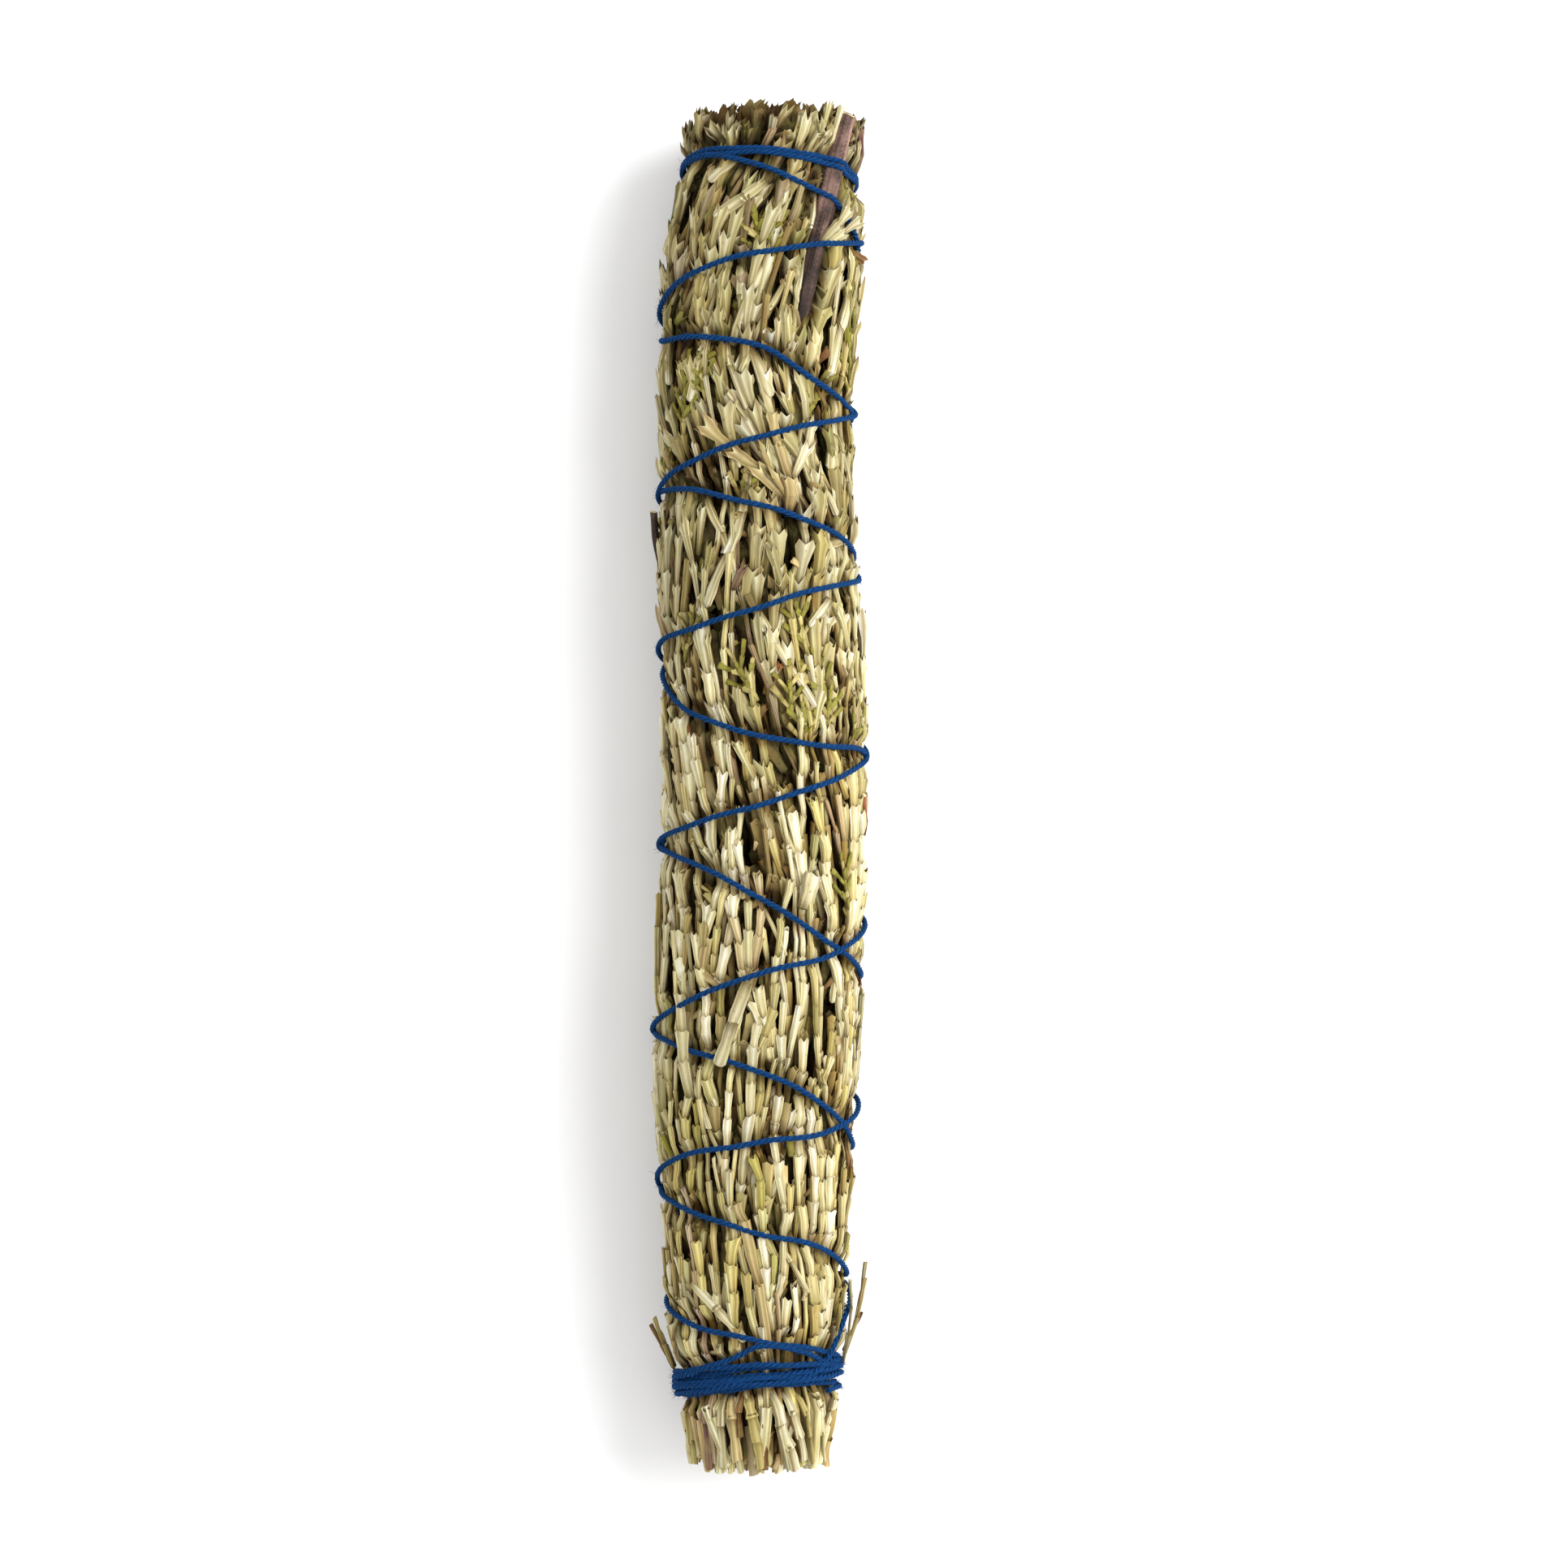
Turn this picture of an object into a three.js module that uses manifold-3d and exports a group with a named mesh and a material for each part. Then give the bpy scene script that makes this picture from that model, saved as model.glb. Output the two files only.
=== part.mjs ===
// A cedar smudge stick: a bundle of dried cedar sprigs bound with one long cotton thread.
// It lies on its side. Y runs along the stick from the cut butt to the leafy tip, Z points up,
// and the origin is under the middle of the stick, on the surface that it lies on.
// All lengths are millimetres and all angles are degrees. Round the bundle, 0 is the right side
// seen from above, 90 the top, 180 the left side and 270 the underside.
import * as THREE from "three";
import Module from "manifold-3d";

const wasm = await Module();
wasm.setup();

// The bundle's own form.
const BUTT_END = -111.5;
const TIP_END = 111.6;
const AXIS_HEIGHT = 15.2;
const HEIGHT_SHARE = 0.96;
// Half the width over the leaves, by station along the stick.
const HALF_WIDTH = [
  [-113, 12.0], [-105, 12.9], [-99.5, 13.9], [-93, 14.3], [-86, 15.4], [-76, 15.6], [-66, 16.2],
  [-46, 17.3], [-26, 17.4], [0, 17.1], [25, 17.1], [42, 16.5], [52, 16.1], [68, 16.6], [90, 16.3],
  [100, 15.2], [113, 14.3],
];
// How far the bundle's middle wanders to the right.
const SWAY = [
  [-113, -0.2], [-60, -0.8], [-30, -0.2], [10, 0.6], [42, -0.7], [66, -0.5], [88, 0.4], [113, 2.6],
];
// How far the sprigs have wound round the bundle, in degrees.
const TWIST = [[-113, 0], [-85, 7], [-50, 20], [-15, 22], [25, 48], [42, 46], [72, 70], [113, 36]];

// The leafy sprigs. Each has two rows of jointed scale leaves showing. Spreads are shares of a row's
// angle, measured from its middle, and depths are measured down from the leaves' outer surface.
const SPRIGS = 14;
const ROWS = 2;
const ROW_ANGLE = 360 / (SPRIGS * ROWS);
const JOINT_LENGTH = 8.6;
const JOINT_DRIFT = 0.25;
const CROWN_SPREAD = 0.47;
const CROWN_ROUGHNESS = 0.6;
const CROWN_STEP = 0.15;
const TOOTH_LENGTH = 1.6;
const NECK_SPREAD = 0.3;
const NECK_DEPTH = 1.5;
const VALLEY_DEPTH = 2.5;
const VALLEY_STEP = 11;
const END_SPREAD = 0.4;
const END_DEPTH = 0.5;
const END_RAGGED = 3.2;
const END_INSET = 2;
// Some crowns stand out of the bundle, and those that the butt band splays stand out further.
const LIFT = 0.7;
const LIFTED_SHARE = 0.25;
const FLARE = 1.9;
const FLARED_SHARE = 0.6;
const FLARE_FROM = -93.5;
const FLARE_TO = -80;
// Crowns stand out only where they are this far above the underside, as a sine.
const OPEN_SIDE = -0.4;

// The gap between neighbours, and the line where the ring of sprigs meets what is inside it.
const GAP = 0.36;
const HEART_SHARE = 0.5;
const HEART_GAP = 0.75;
const HEART_STATIONS = [-90, -68, -46, -24, -2, 20, 42, 58, 74, 92];
const HEART_INSET = 2.4;

// The inner sprigs and the woody stem in the middle.
const INNER_SPRIGS = 6;
const INNER_FACES = 3;
const INNER_INSET = 1;
const INNER_RAGGED = 2.6;
const STEM_CLEARANCE = 3.2;
const STEM_OFFSET = 9;
const MAIN_STEM_RADIUS = 2.4;
const MAIN_STEM_TIP_RADIUS = 1.3;
const MAIN_STEM_SIDES = 8;

// Bare twigs that lie in the leaves. Each runs between two places, given as angle, station and depth.
const TWIG_SIDES = 8;
const BARK_TWIG = { from: [74, 74, 3.1], to: [38, 110.6, 2.75], radii: [1.05, 1.3], crook: 0.25, steps: 5 };
const DARK_TWIG = { from: [172, 34.5, 1.4], to: [179, 45.4, -0.5], radii: [0.55, 0.6], crook: 0.1, steps: 2 };
const RED_TWIG = { from: [3, -11.6, 0.9], to: [5, -1.2, 0.1], radii: [0.75, 0.55], crook: 0.1, steps: 2 };
// A twig's groove in section, as shares of its half-width: across it, and out of the bundle.
const GROOVE = [[1.02, 3], [-1.02, 3], [-1.02, 0], [-0.72, -0.76], [0, -1.06], [0.72, -0.76], [1.02, 0]];

// The cotton thread. Its depth is that of its middle.
const THREAD_RADIUS = 0.55;
const THREAD_DEPTH = 0.66;
const THREAD_SIDES = 5;
const THREAD_STEP = 18;
const SLIVER = 0.02;
// The seats that the thread and its bands have in the leaves.
const SEAT_DEPTH = 1.95;
const SEAT_SPREAD = 0.35;
const SEAT_ROOM = 0.5;
const SEAT_JOIN = 2.6;
const BAND_SEAT_ROOM = 0.75;
const TURN_ANGLES = [0, 45, 90, 135, 180, 270];
// Where the thread lies along the stick, one row for each turn and one number for each turn angle.
const RISING_TURNS = [
  [-94.2, -91.0, -89.2, -87.2, -84.4, -82.0],
  [-79.8, -74.5, -71.6, -68.7, -66.1, -62.5],
  [-58.9, -51.6, -45.5, -42.3, -40.4, -36.0],
  [-31.0, -25.2, -18.0, -12.1, -9.7, -2.5],
  [5.4, 6.4, 8.1, 11.6, 18.6, 28.0],
  [38.0, 41.8, 45.4, 48.0, 48.4, 54.5],
  [60.6, 64.6, 70.7, 72.7, 73.0, 80.0],
  [87.6, 94.9, 99.4, 102.1, 101.6, 101.0],
];
const FALLING_TURNS = [
  [101.0, 101.2, 101.6, 101.8, 100.6, 95.5],
  [89.1, 87.8, 85.7, 82.7, 77.6, 69.5],
  [61.2, 58.8, 56.1, 52.0, 47.8, 41.0],
  [34.2, 32.3, 28.7, 25.3, 22.3, 14.0],
  [5.1, 1.4, -2.9, -6.2, -9.6, -16.0],
  [-22.6, -27.1, -29.9, -35.1, -39.8, -46.0],
  [-52.3, -55.9, -57.1, -59.6, -64.6, -75.0],
];
// The last fall into the band at the butt, and the loop that bows up out of that band.
const LAST_FALL = [[0, -84.0], [18, -86.4], [30, -91.4], [42, -94.2], [54, -95.4]];
const LOOP = [
  [30, -94.6], [39, -93.2], [60, -91.1], [75, -90.0], [90, -90.1], [105, -91.9], [127, -93.8], [138, -95.0],
];
const LOOP_MARGIN = 4;
// The single thread goes into the tip band this far round from where its last turn would end.
const TIP_BAND_ENTRY = 198;
// The falling turns lie over the rising ones, except underneath.
const OVER_LIFT = 0.5;

// Where several turns lie side by side they make a band with a ridge for each thread that shows.
// Its station is higher on one side than on the other, and higher on top than underneath.
const BUTT_BAND = { station: -96.9, across: 1.25, up: 1.9, half: 2.45, ridges: 4, top: -0.1, bottom: 1.9 };
const TIP_BAND = { station: 100.3, across: -1.25, up: 1.95, half: 1.25, ridges: 2, top: 0.25, bottom: 1.45 };
const RIDGE_HEIGHT = 0.4;
const BAND_FACES = 24;

const radians = THREE.MathUtils.degToRad;

// A repeatable draw from 0 to 1 for any two numbers.
function draw(a, b) {
  const wave = Math.sin(a * 127.1 + b * 311.7 + 17.3) * 43758.5453;
  return wave - Math.floor(wave);
}

// The smooth curve through [x, value] pairs, read at x.
function curve(pairs, x) {
  const last = pairs.length - 1;
  if (x <= pairs[0][0]) return pairs[0][1];
  if (x >= pairs[last][0]) return pairs[last][1];
  let i = 0;
  while (x > pairs[i + 1][0]) i += 1;
  const [x0, v0] = pairs[i];
  const [x1, v1] = pairs[i + 1];
  const [xa, va] = pairs[Math.max(i - 1, 0)];
  const [xb, vb] = pairs[Math.min(i + 2, last)];
  const span = x1 - x0;
  const t = (x - x0) / span;
  const start = ((v1 - va) / (x1 - xa)) * span;
  const end = ((vb - v0) / (xb - x0)) * span;
  const bend = 2 * (v0 - v1) + start + end;
  return v0 + t * (start + t * (3 * (v1 - v0) - 2 * start - end + t * bend));
}

const twist = (y) => curve(TWIST, y);

// The radius over the leaves: an ellipse, pressed flat where the stick lies on the surface.
function rim(angle, y) {
  const across = curve(HALF_WIDTH, y);
  const up = across * HEIGHT_SHARE;
  const c = Math.cos(radians(angle));
  const s = Math.sin(radians(angle));
  const round = (across * up) / Math.hypot(up * c, across * s);
  return s < 0 ? Math.min(round, AXIS_HEIGHT / -s) : round;
}

const isPressed = (angle, y) => rim(angle, y) * -Math.sin(radians(angle)) > AXIS_HEIGHT - 1e-9;

// The point at a radius from the bundle's middle line.
function atRadius(angle, y, radius) {
  const x = curve(SWAY, y) + radius * Math.cos(radians(angle));
  return new THREE.Vector3(x, y, AXIS_HEIGHT + radius * Math.sin(radians(angle)));
}

// The point that lies a depth under the leaves.
const under = (angle, y, depth) => atRadius(angle, y, rim(angle, y) - depth);

// A closed solid from points and the triangles between them.
function solidOf(points, triangles) {
  const vertProperties = new Float32Array(points.flatMap((p) => [p.x, p.y, p.z]));
  const triVerts = new Uint32Array(triangles.flat());
  return new wasm.Manifold(new wasm.Mesh({ numProp: 3, vertProperties, triVerts }));
}

// A solid whose skin joins neighbouring columns of points. A column is a list of { s, at }, with s
// growing along it, and the columns go once round the solid. Both ends are closed by a fan.
function columnSolid(columns) {
  const points = [];
  const triangles = [];
  const index = columns.map((column) => column.map(({ at }) => points.push(at) - 1));
  const middle = (pick) => {
    const sum = new THREE.Vector3();
    columns.forEach((column) => sum.add(pick(column).at));
    return points.push(sum.divideScalar(columns.length)) - 1;
  };
  const buttMiddle = middle((column) => column[0]);
  const tipMiddle = middle((column) => column.at(-1));
  columns.forEach((a, n) => {
    const m = (n + 1) % columns.length;
    const b = columns[m];
    const ia = index[n];
    const ib = index[m];
    let i = 0;
    let j = 0;
    triangles.push([buttMiddle, ia[0], ib[0]]);
    while (i < a.length - 1 || j < b.length - 1) {
      const stepA = j === b.length - 1 || (i < a.length - 1 && a[i + 1].s <= b[j + 1].s);
      triangles.push(stepA ? [ia[i], ia[i + 1], ib[j]] : [ia[i], ib[j + 1], ib[j]]);
      if (stepA) i += 1;
      else j += 1;
    }
    triangles.push([tipMiddle, ib[j], ia[i]]);
  });
  return solidOf(points, triangles);
}

// A solid that joins rings of points in order. It closes on itself, or its ends are closed flat.
function ringSolid(rings, closed) {
  if (closed) {
    const sides = rings[0].length;
    const corner = (i, j) => (i % rings.length) * sides + (j % sides);
    const triangles = rings.flatMap((ring, i) =>
      ring.flatMap((_, j) => [
        [corner(i, j), corner(i, j + 1), corner(i + 1, j)],
        [corner(i, j + 1), corner(i + 1, j + 1), corner(i + 1, j)],
      ]),
    );
    const made = solidOf(rings.flat(), triangles);
    return made.volume() > 0 ? made : solidOf(rings.flat(), triangles.map(([a, b, c]) => [a, c, b]));
  }
  const columns = rings[0].map((_, j) => rings.map((ring, s) => ({ s, at: ring[j] })));
  const made = columnSolid(columns);
  return made.volume() > 0 ? made : columnSolid(columns.reverse());
}

const wound = (turns, from) =>
  turns.flatMap((turn, k) => turn.map((station, n) => [from + 360 * k + TURN_ANGLES[n], station]));
const RISEN = 360 * RISING_TURNS.length;
const FALLEN = RISEN + 360 * FALLING_TURNS.length;
const THREAD_PATH = [
  ...wound(RISING_TURNS, 0),
  ...wound(FALLING_TURNS, RISEN),
  ...LAST_FALL.map(([angle, station]) => [FALLEN + angle, station]),
];
const THREAD_END = THREAD_PATH.at(-1)[0];
const threadStation = (angle) => curve(THREAD_PATH, angle);
const loopStation = (angle) => curve(LOOP, angle);
const bandStation = ({ station, across, up }, angle) =>
  station + across * Math.cos(radians(angle)) + up * Math.sin(radians(angle));
const THREAD_SAMPLES = Array.from({ length: THREAD_END + 1 }, (_, angle) => [angle, threadStation(angle)]);

// Where the thread crosses the line that winds with the sprigs at a given angle: one place for each
// time it comes round, and how far along the line a thread at that slope reaches.
function crossings(lineAngle) {
  const found = [];
  let before = THREAD_SAMPLES[0][0] - twist(THREAD_SAMPLES[0][1]) - lineAngle;
  for (const [angle, y] of THREAD_SAMPLES.slice(1)) {
    const now = angle - twist(y) - lineAngle;
    const turn = Math.floor(now / 360);
    if (turn !== Math.floor(before / 360)) {
      const slope = (y - threadStation(angle - 1)) / (radians(1) * rim(angle, y));
      found.push({ id: turn, y, half: THREAD_RADIUS * Math.hypot(1, slope) + SEAT_ROOM, depth: SEAT_DEPTH });
    }
    before = now;
  }
  return found;
}

// The seat of a band on a winding line. The loop that rises out of the butt band shares its seat.
function bandSeat(band, lineAngle) {
  let y = band.station;
  for (let n = 0; n < 8; n += 1) y = bandStation(band, twist(y) + lineAngle);
  let half = band.half + SEAT_ROOM;
  const angle = (((twist(y) + lineAngle) % 360) + 360) % 360;
  if (band === BUTT_BAND && angle > LOOP[0][0] - LOOP_MARGIN && angle < LOOP.at(-1)[0] + LOOP_MARGIN) {
    const rise = Math.max(0, loopStation(angle) + 2 * THREAD_RADIUS - y - band.half) / 2;
    y += rise;
    half += rise;
  }
  return { id: band.station, y, half, depth: band.bottom + BAND_SEAT_ROOM };
}

// The places on a winding line where thread lies in the leaves, from the butt up.
function itemsOn(lineAngle) {
  const items = [...crossings(lineAngle), bandSeat(BUTT_BAND, lineAngle), bandSeat(TIP_BAND, lineAngle)];
  return items.sort((a, b) => a.y - b.y);
}

// Which of those places are so close together that they share one seat.
function groupsOn(lineAngle) {
  const groups = [];
  for (const item of itemsOn(lineAngle)) {
    const group = groups.at(-1);
    if (group && item.y - item.half < group.high + SEAT_JOIN) {
      group.ids.push(item.id);
      group.high = Math.max(group.high, item.y + item.half);
    } else groups.push({ ids: [item.id], high: item.y + item.half });
  }
  return groups.map(({ ids }) => ids);
}

function seatsOn(lineAngle, groups) {
  const items = new Map(itemsOn(lineAngle).map((item) => [item.id, item]));
  return groups.map((ids) => {
    const members = ids.map((id) => items.get(id)).filter(Boolean);
    return {
      low: Math.min(...members.map((m) => m.y - m.half)),
      high: Math.max(...members.map((m) => m.y + m.half)),
      depth: Math.max(...members.map((m) => m.depth)),
      wide: members.length > 1 || ids.includes(BUTT_BAND.station),
    };
  });
}

// One edge of a row of jointed leaves. side is -1 or 1. Each joint starts as a narrow low neck and
// widens to a raised toothed crown, and where thread crosses the row it lies behind a crown.
function rowEdge(row, side, groups, buttEnd, tipEnd) {
  const line = (row + 0.5) * ROW_ANGLE;
  const seats = seatsOn(line + side * SEAT_SPREAD * ROW_ANGLE, groups);
  const points = [];
  const add = (y, depth, spread) => {
    const angle = twist(y) + line + side * spread * ROW_ANGLE;
    points.push({ s: y, at: under(angle, y, depth) });
  };
  const pressedAt = (y) => [-1, 1].every((n) => isPressed(twist(y) + line + n * CROWN_SPREAD * ROW_ANGLE, y));
  const openAt = (y) => Math.sin(radians(twist(y) + line)) > OPEN_SIDE;
  add(buttEnd, END_DEPTH, END_SPREAD);
  let start = buttEnd;
  [...seats, { low: tipEnd, last: true }].forEach((seat, k) => {
    const joints = Math.max(1, Math.round((seat.low - start) / JOINT_LENGTH));
    const length = (seat.low - start) / joints;
    for (let n = 1; n <= joints; n += 1) {
      const key = k * 7 + n;
      const ends = n === joints;
      const drift = ends ? 0 : (draw(row, key) - 0.5) * JOINT_DRIFT * length;
      const crown = start + n * length + drift;
      const pressed = pressedAt(crown) && pressedAt(crown - 0.5 * length);
      const tooth = ends || pressed ? 0 : (draw(row + side * 0.3, key + 0.5) - 0.5) * TOOTH_LENGTH;
      const lifted = !ends && openAt(crown) && draw(row - side * 0.2, key + 0.7) < LIFTED_SHARE;
      const splayed = crown > FLARE_FROM && crown < FLARE_TO;
      const flared = splayed && openAt(crown) && draw(row, key + 0.4) < FLARED_SHARE;
      const depth = pressed ? 0 : draw(row, key + 0.2) * CROWN_ROUGHNESS;
      if (pressed && n > 1) add(crown - 0.5 * length, 0, CROWN_SPREAD);
      add(crown + tooth - CROWN_STEP, flared ? -FLARE : lifted ? -LIFT : depth, CROWN_SPREAD);
      if (!ends) add(crown + tooth, NECK_DEPTH, NECK_SPREAD);
    }
    if (seat.last) return;
    add(seat.low, seat.depth, SEAT_SPREAD);
    if (seat.wide) add(seat.high, seat.depth, SEAT_SPREAD);
    start = seat.wide ? seat.high : seat.low;
  });
  return points;
}

// The low line between two rows. shift moves it round by a length, which leaves a gap between sprigs.
function valley(boundary, shift, buttEnd, tipEnd) {
  const line = boundary * ROW_ANGLE;
  const seats = seatsOn(line, groupsOn(line));
  const stations = [buttEnd];
  [...seats, { low: tipEnd, last: true }].forEach((seat) => {
    const start = stations.at(-1);
    const parts = Math.max(1, Math.round((seat.low - start) / VALLEY_STEP));
    for (let n = 1; n < parts; n += 1) stations.push(start + ((seat.low - start) * n) / parts);
    stations.push(seat.low);
    if (seat.wide) stations.push(seat.high);
  });
  return stations.map((y) => {
    const radius = rim(twist(y) + line, y) - VALLEY_DEPTH;
    const turn = THREE.MathUtils.radToDeg(shift / radius);
    return { s: y, at: atRadius(twist(y) + line + turn, y, radius) };
  });
}

// The line where a sprig meets the inner sprigs. inset moves it in by a length.
function heartLine(boundary, shift, buttEnd, tipEnd, inset) {
  const line = boundary * ROW_ANGLE;
  return [buttEnd, ...HEART_STATIONS, tipEnd].map((y) => {
    const radius = rim(twist(y) + line, y) * HEART_SHARE - inset;
    const turn = THREE.MathUtils.radToDeg(shift / radius);
    return { s: y, at: atRadius(twist(y) + line + turn, y, radius) };
  });
}

// One leafy sprig of the outer ring.
function sprig(number) {
  const first = number * ROWS;
  const last = first + ROWS;
  const side = (boundary, shift) => valley(boundary, shift, BUTT_END + END_INSET, TIP_END - END_INSET);
  const heart = (boundary, shift) =>
    heartLine(boundary, shift, BUTT_END + HEART_INSET, TIP_END - HEART_INSET, 0);
  const columns = [side(first, GAP / 2)];
  for (let row = first; row < last; row += 1) {
    const groups = groupsOn((row + 0.5) * ROW_ANGLE);
    const buttEnd = BUTT_END + (draw(row, 90) - 0.4) * END_RAGGED;
    const tipEnd = TIP_END + (draw(row, 91) - 0.5) * END_RAGGED;
    columns.push(rowEdge(row, -1, groups, buttEnd, tipEnd), rowEdge(row, 1, groups, buttEnd, tipEnd));
    if (row < last - 1) columns.push(side(row + 1, 0));
  }
  columns.push(side(last, -GAP / 2), heart(last, -GAP / 2), heart(first, GAP / 2));
  return columnSolid(columns);
}

// One sprig inside the ring, a plain wedge round the main stem.
function innerSprig(number) {
  const span = (SPRIGS * ROWS) / INNER_SPRIGS;
  const first = number * span;
  const columns = Array.from({ length: INNER_FACES + 1 }, (_, n) => {
    const shift = n === 0 ? GAP / 2 : n === INNER_FACES ? -GAP / 2 : 0;
    const buttEnd = BUTT_END + INNER_INSET + draw(number, 40 + n) * INNER_RAGGED;
    const tipEnd = TIP_END - INNER_INSET - draw(number, 60 + n) * INNER_RAGGED;
    return heartLine(first + (n / INNER_FACES) * span, shift, buttEnd, tipEnd, HEART_GAP);
  });
  const middles = HEART_STATIONS.map((y) => y + STEM_OFFSET);
  const stations = [BUTT_END + HEART_INSET, ...middles, TIP_END - HEART_INSET];
  const stemSide = (boundary, shift) =>
    stations.map((y) => {
      const turn = THREE.MathUtils.radToDeg(shift / STEM_CLEARANCE);
      return { s: y, at: atRadius(twist(y) + boundary * ROW_ANGLE + turn, y, STEM_CLEARANCE) };
    });
  columns.push(stemSide(first + span, -GAP / 2), stemSide(first, GAP / 2));
  return columnSolid(columns);
}

// The rings of points round a twig. room makes it wider and longer, and section gives how far across
// and how far out of the bundle each point lies, as shares of the radius.
function twigRings({ from, to, radii, crook, steps }, room, section) {
  return Array.from({ length: steps + 1 }, (_, n) => {
    const t = n / steps;
    const [angle, y, depth] = from.map((value, k) => THREE.MathUtils.lerp(value, to[k], t));
    const bend = n % steps === 0 ? 0 : (draw(y, radii[0]) - 0.5) * 2 * crook;
    const centre = under(angle, y, depth + bend);
    const out = new THREE.Vector3(Math.cos(radians(angle)), 0, Math.sin(radians(angle)));
    const along = new THREE.Vector3(0, 1, 0);
    const across = new THREE.Vector3().crossVectors(out, along);
    const radius = THREE.MathUtils.lerp(radii[0], radii[1], t) + room;
    return section.map(([x, z]) =>
      centre
        .clone()
        .addScaledVector(across, x * radius)
        .addScaledVector(out, z * radius)
        .addScaledVector(along, n === 0 ? -room : n === steps ? room : 0),
    );
  });
}

function twig(form) {
  const section = Array.from({ length: TWIG_SIDES }, (_, k) => {
    const turn = (2 * Math.PI * (k + 0.5)) / TWIG_SIDES;
    return [Math.cos(turn), Math.sin(turn)];
  });
  return ringSolid(twigRings(form, 0, section), false);
}

// The room that a twig takes up among the leaves, open outwards.
const groove = (form) => ringSolid(twigRings(form, GAP, GROOVE), false);

// The woody stem in the middle of the bundle, thick at the butt.
function mainStem() {
  const rings = [BUTT_END, ...HEART_STATIONS, TIP_END - END_RAGGED].map((y) => {
    const along = (y - BUTT_END) / (TIP_END - BUTT_END);
    const radius = THREE.MathUtils.lerp(MAIN_STEM_RADIUS, MAIN_STEM_TIP_RADIUS, along);
    const side = 360 / MAIN_STEM_SIDES;
    return Array.from({ length: MAIN_STEM_SIDES }, (_, n) => atRadius(n * side, y, radius));
  });
  return ringSolid(rings, false);
}

// A length of thread between two winding angles, on a route that gives its station and depth.
function threadRun(station, depth, from, to) {
  const steps = Math.round((to - from) / THREAD_STEP);
  const centre = (angle) => under(angle, station(angle), depth(angle));
  const rings = Array.from({ length: steps + 1 }, (_, n) => {
    const angle = from + ((to - from) * n) / steps;
    const along = centre(angle + 1).sub(centre(angle - 1)).normalize();
    const out = new THREE.Vector3(Math.cos(radians(angle)), 0, Math.sin(radians(angle)));
    const side = new THREE.Vector3().crossVectors(along, out).normalize();
    out.crossVectors(side, along).normalize();
    return Array.from({ length: THREAD_SIDES }, (_, k) => {
      const turn = radians((360 * (k + 0.5)) / THREAD_SIDES);
      return centre(angle)
        .addScaledVector(side, THREAD_RADIUS * Math.cos(turn))
        .addScaledVector(out, THREAD_RADIUS * Math.sin(turn));
    });
  });
  return ringSolid(rings, false);
}

const lowDepth = () => THREAD_DEPTH;
const overDepth = (angle) =>
  THREAD_DEPTH - OVER_LIFT * THREE.MathUtils.smoothstep(Math.sin(radians(angle)), -0.6, -0.2);

// A band of turns that lie side by side, with a ridge for each thread that shows.
function ridgedBand(band) {
  const outline = [[band.half, band.bottom], [-band.half, band.bottom]];
  for (let n = 0; n <= 2 * band.ridges; n += 1) {
    const across = -band.half + (n * band.half) / band.ridges;
    outline.push([across, n % 2 ? band.top : band.top + RIDGE_HEIGHT]);
  }
  const rings = Array.from({ length: BAND_FACES }, (_, n) => {
    const angle = (360 * n) / BAND_FACES;
    return outline.map(([across, depth]) => under(angle, bandStation(band, angle) + across, depth));
  });
  return ringSolid(rings, true);
}

// The whole thread. It rises from the butt band to the tip band, and falls back over its own turns.
function thread() {
  return wasm.Manifold.union([
    ridgedBand(BUTT_BAND),
    threadRun(threadStation, lowDepth, 0, RISEN - TIP_BAND_ENTRY),
    ridgedBand(TIP_BAND),
    threadRun(threadStation, overDepth, RISEN + TIP_BAND_ENTRY, THREAD_END),
    threadRun(loopStation, overDepth, LOOP[0][0], LOOP.at(-1)[0]),
  ]).simplify(SLIVER);
}

function meshOf(name, solid, material) {
  const made = solid.getMesh();
  const geometry = new THREE.BufferGeometry();
  geometry.setAttribute("position", new THREE.BufferAttribute(made.vertProperties, 3));
  geometry.setIndex(new THREE.BufferAttribute(made.triVerts, 1));
  geometry.computeVertexNormals();
  const mesh = new THREE.Mesh(geometry, material);
  mesh.name = name;
  return mesh;
}

const matt = (color, roughness) => new THREE.MeshStandardMaterial({ color, roughness, flatShading: true });
const dryLeaf = matt(0xb9ae7e, 0.85);
const innerLeaf = matt(0x7d6f45, 0.9);
const purpleBark = matt(0x6d5258, 0.9);
const redBark = matt(0x8a4a34, 0.9);
const stemWood = matt(0xa98f66, 0.85);
const cotton = matt(0x0d3b80, 0.95);

const grooves = [BARK_TWIG, DARK_TWIG, RED_TWIG].map(groove);

// A sprig with room made for the twigs, without the crumbs that this leaves.
function carvedSprig(number) {
  const carved = grooves.reduce((solid, hollow) => solid.subtract(hollow), sprig(number));
  return carved.decompose().reduce((a, b) => (a.volume() > b.volume() ? a : b));
}

const smudgeStick = new THREE.Group();
for (let n = 0; n < SPRIGS; n += 1) {
  smudgeStick.add(meshOf(`cedar_sprig_${String(n + 1).padStart(2, "0")}`, carvedSprig(n), dryLeaf));
}
for (let n = 0; n < INNER_SPRIGS; n += 1) {
  smudgeStick.add(meshOf(`inner_sprig_${n + 1}`, innerSprig(n), innerLeaf));
}
smudgeStick.add(meshOf("main_stem", mainStem(), stemWood));
smudgeStick.add(meshOf("bark_twig", twig(BARK_TWIG), purpleBark));
smudgeStick.add(meshOf("dark_twig", twig(DARK_TWIG), purpleBark));
smudgeStick.add(meshOf("red_twig", twig(RED_TWIG), redBark));
smudgeStick.add(meshOf("binding_thread", thread(), cotton));

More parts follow.
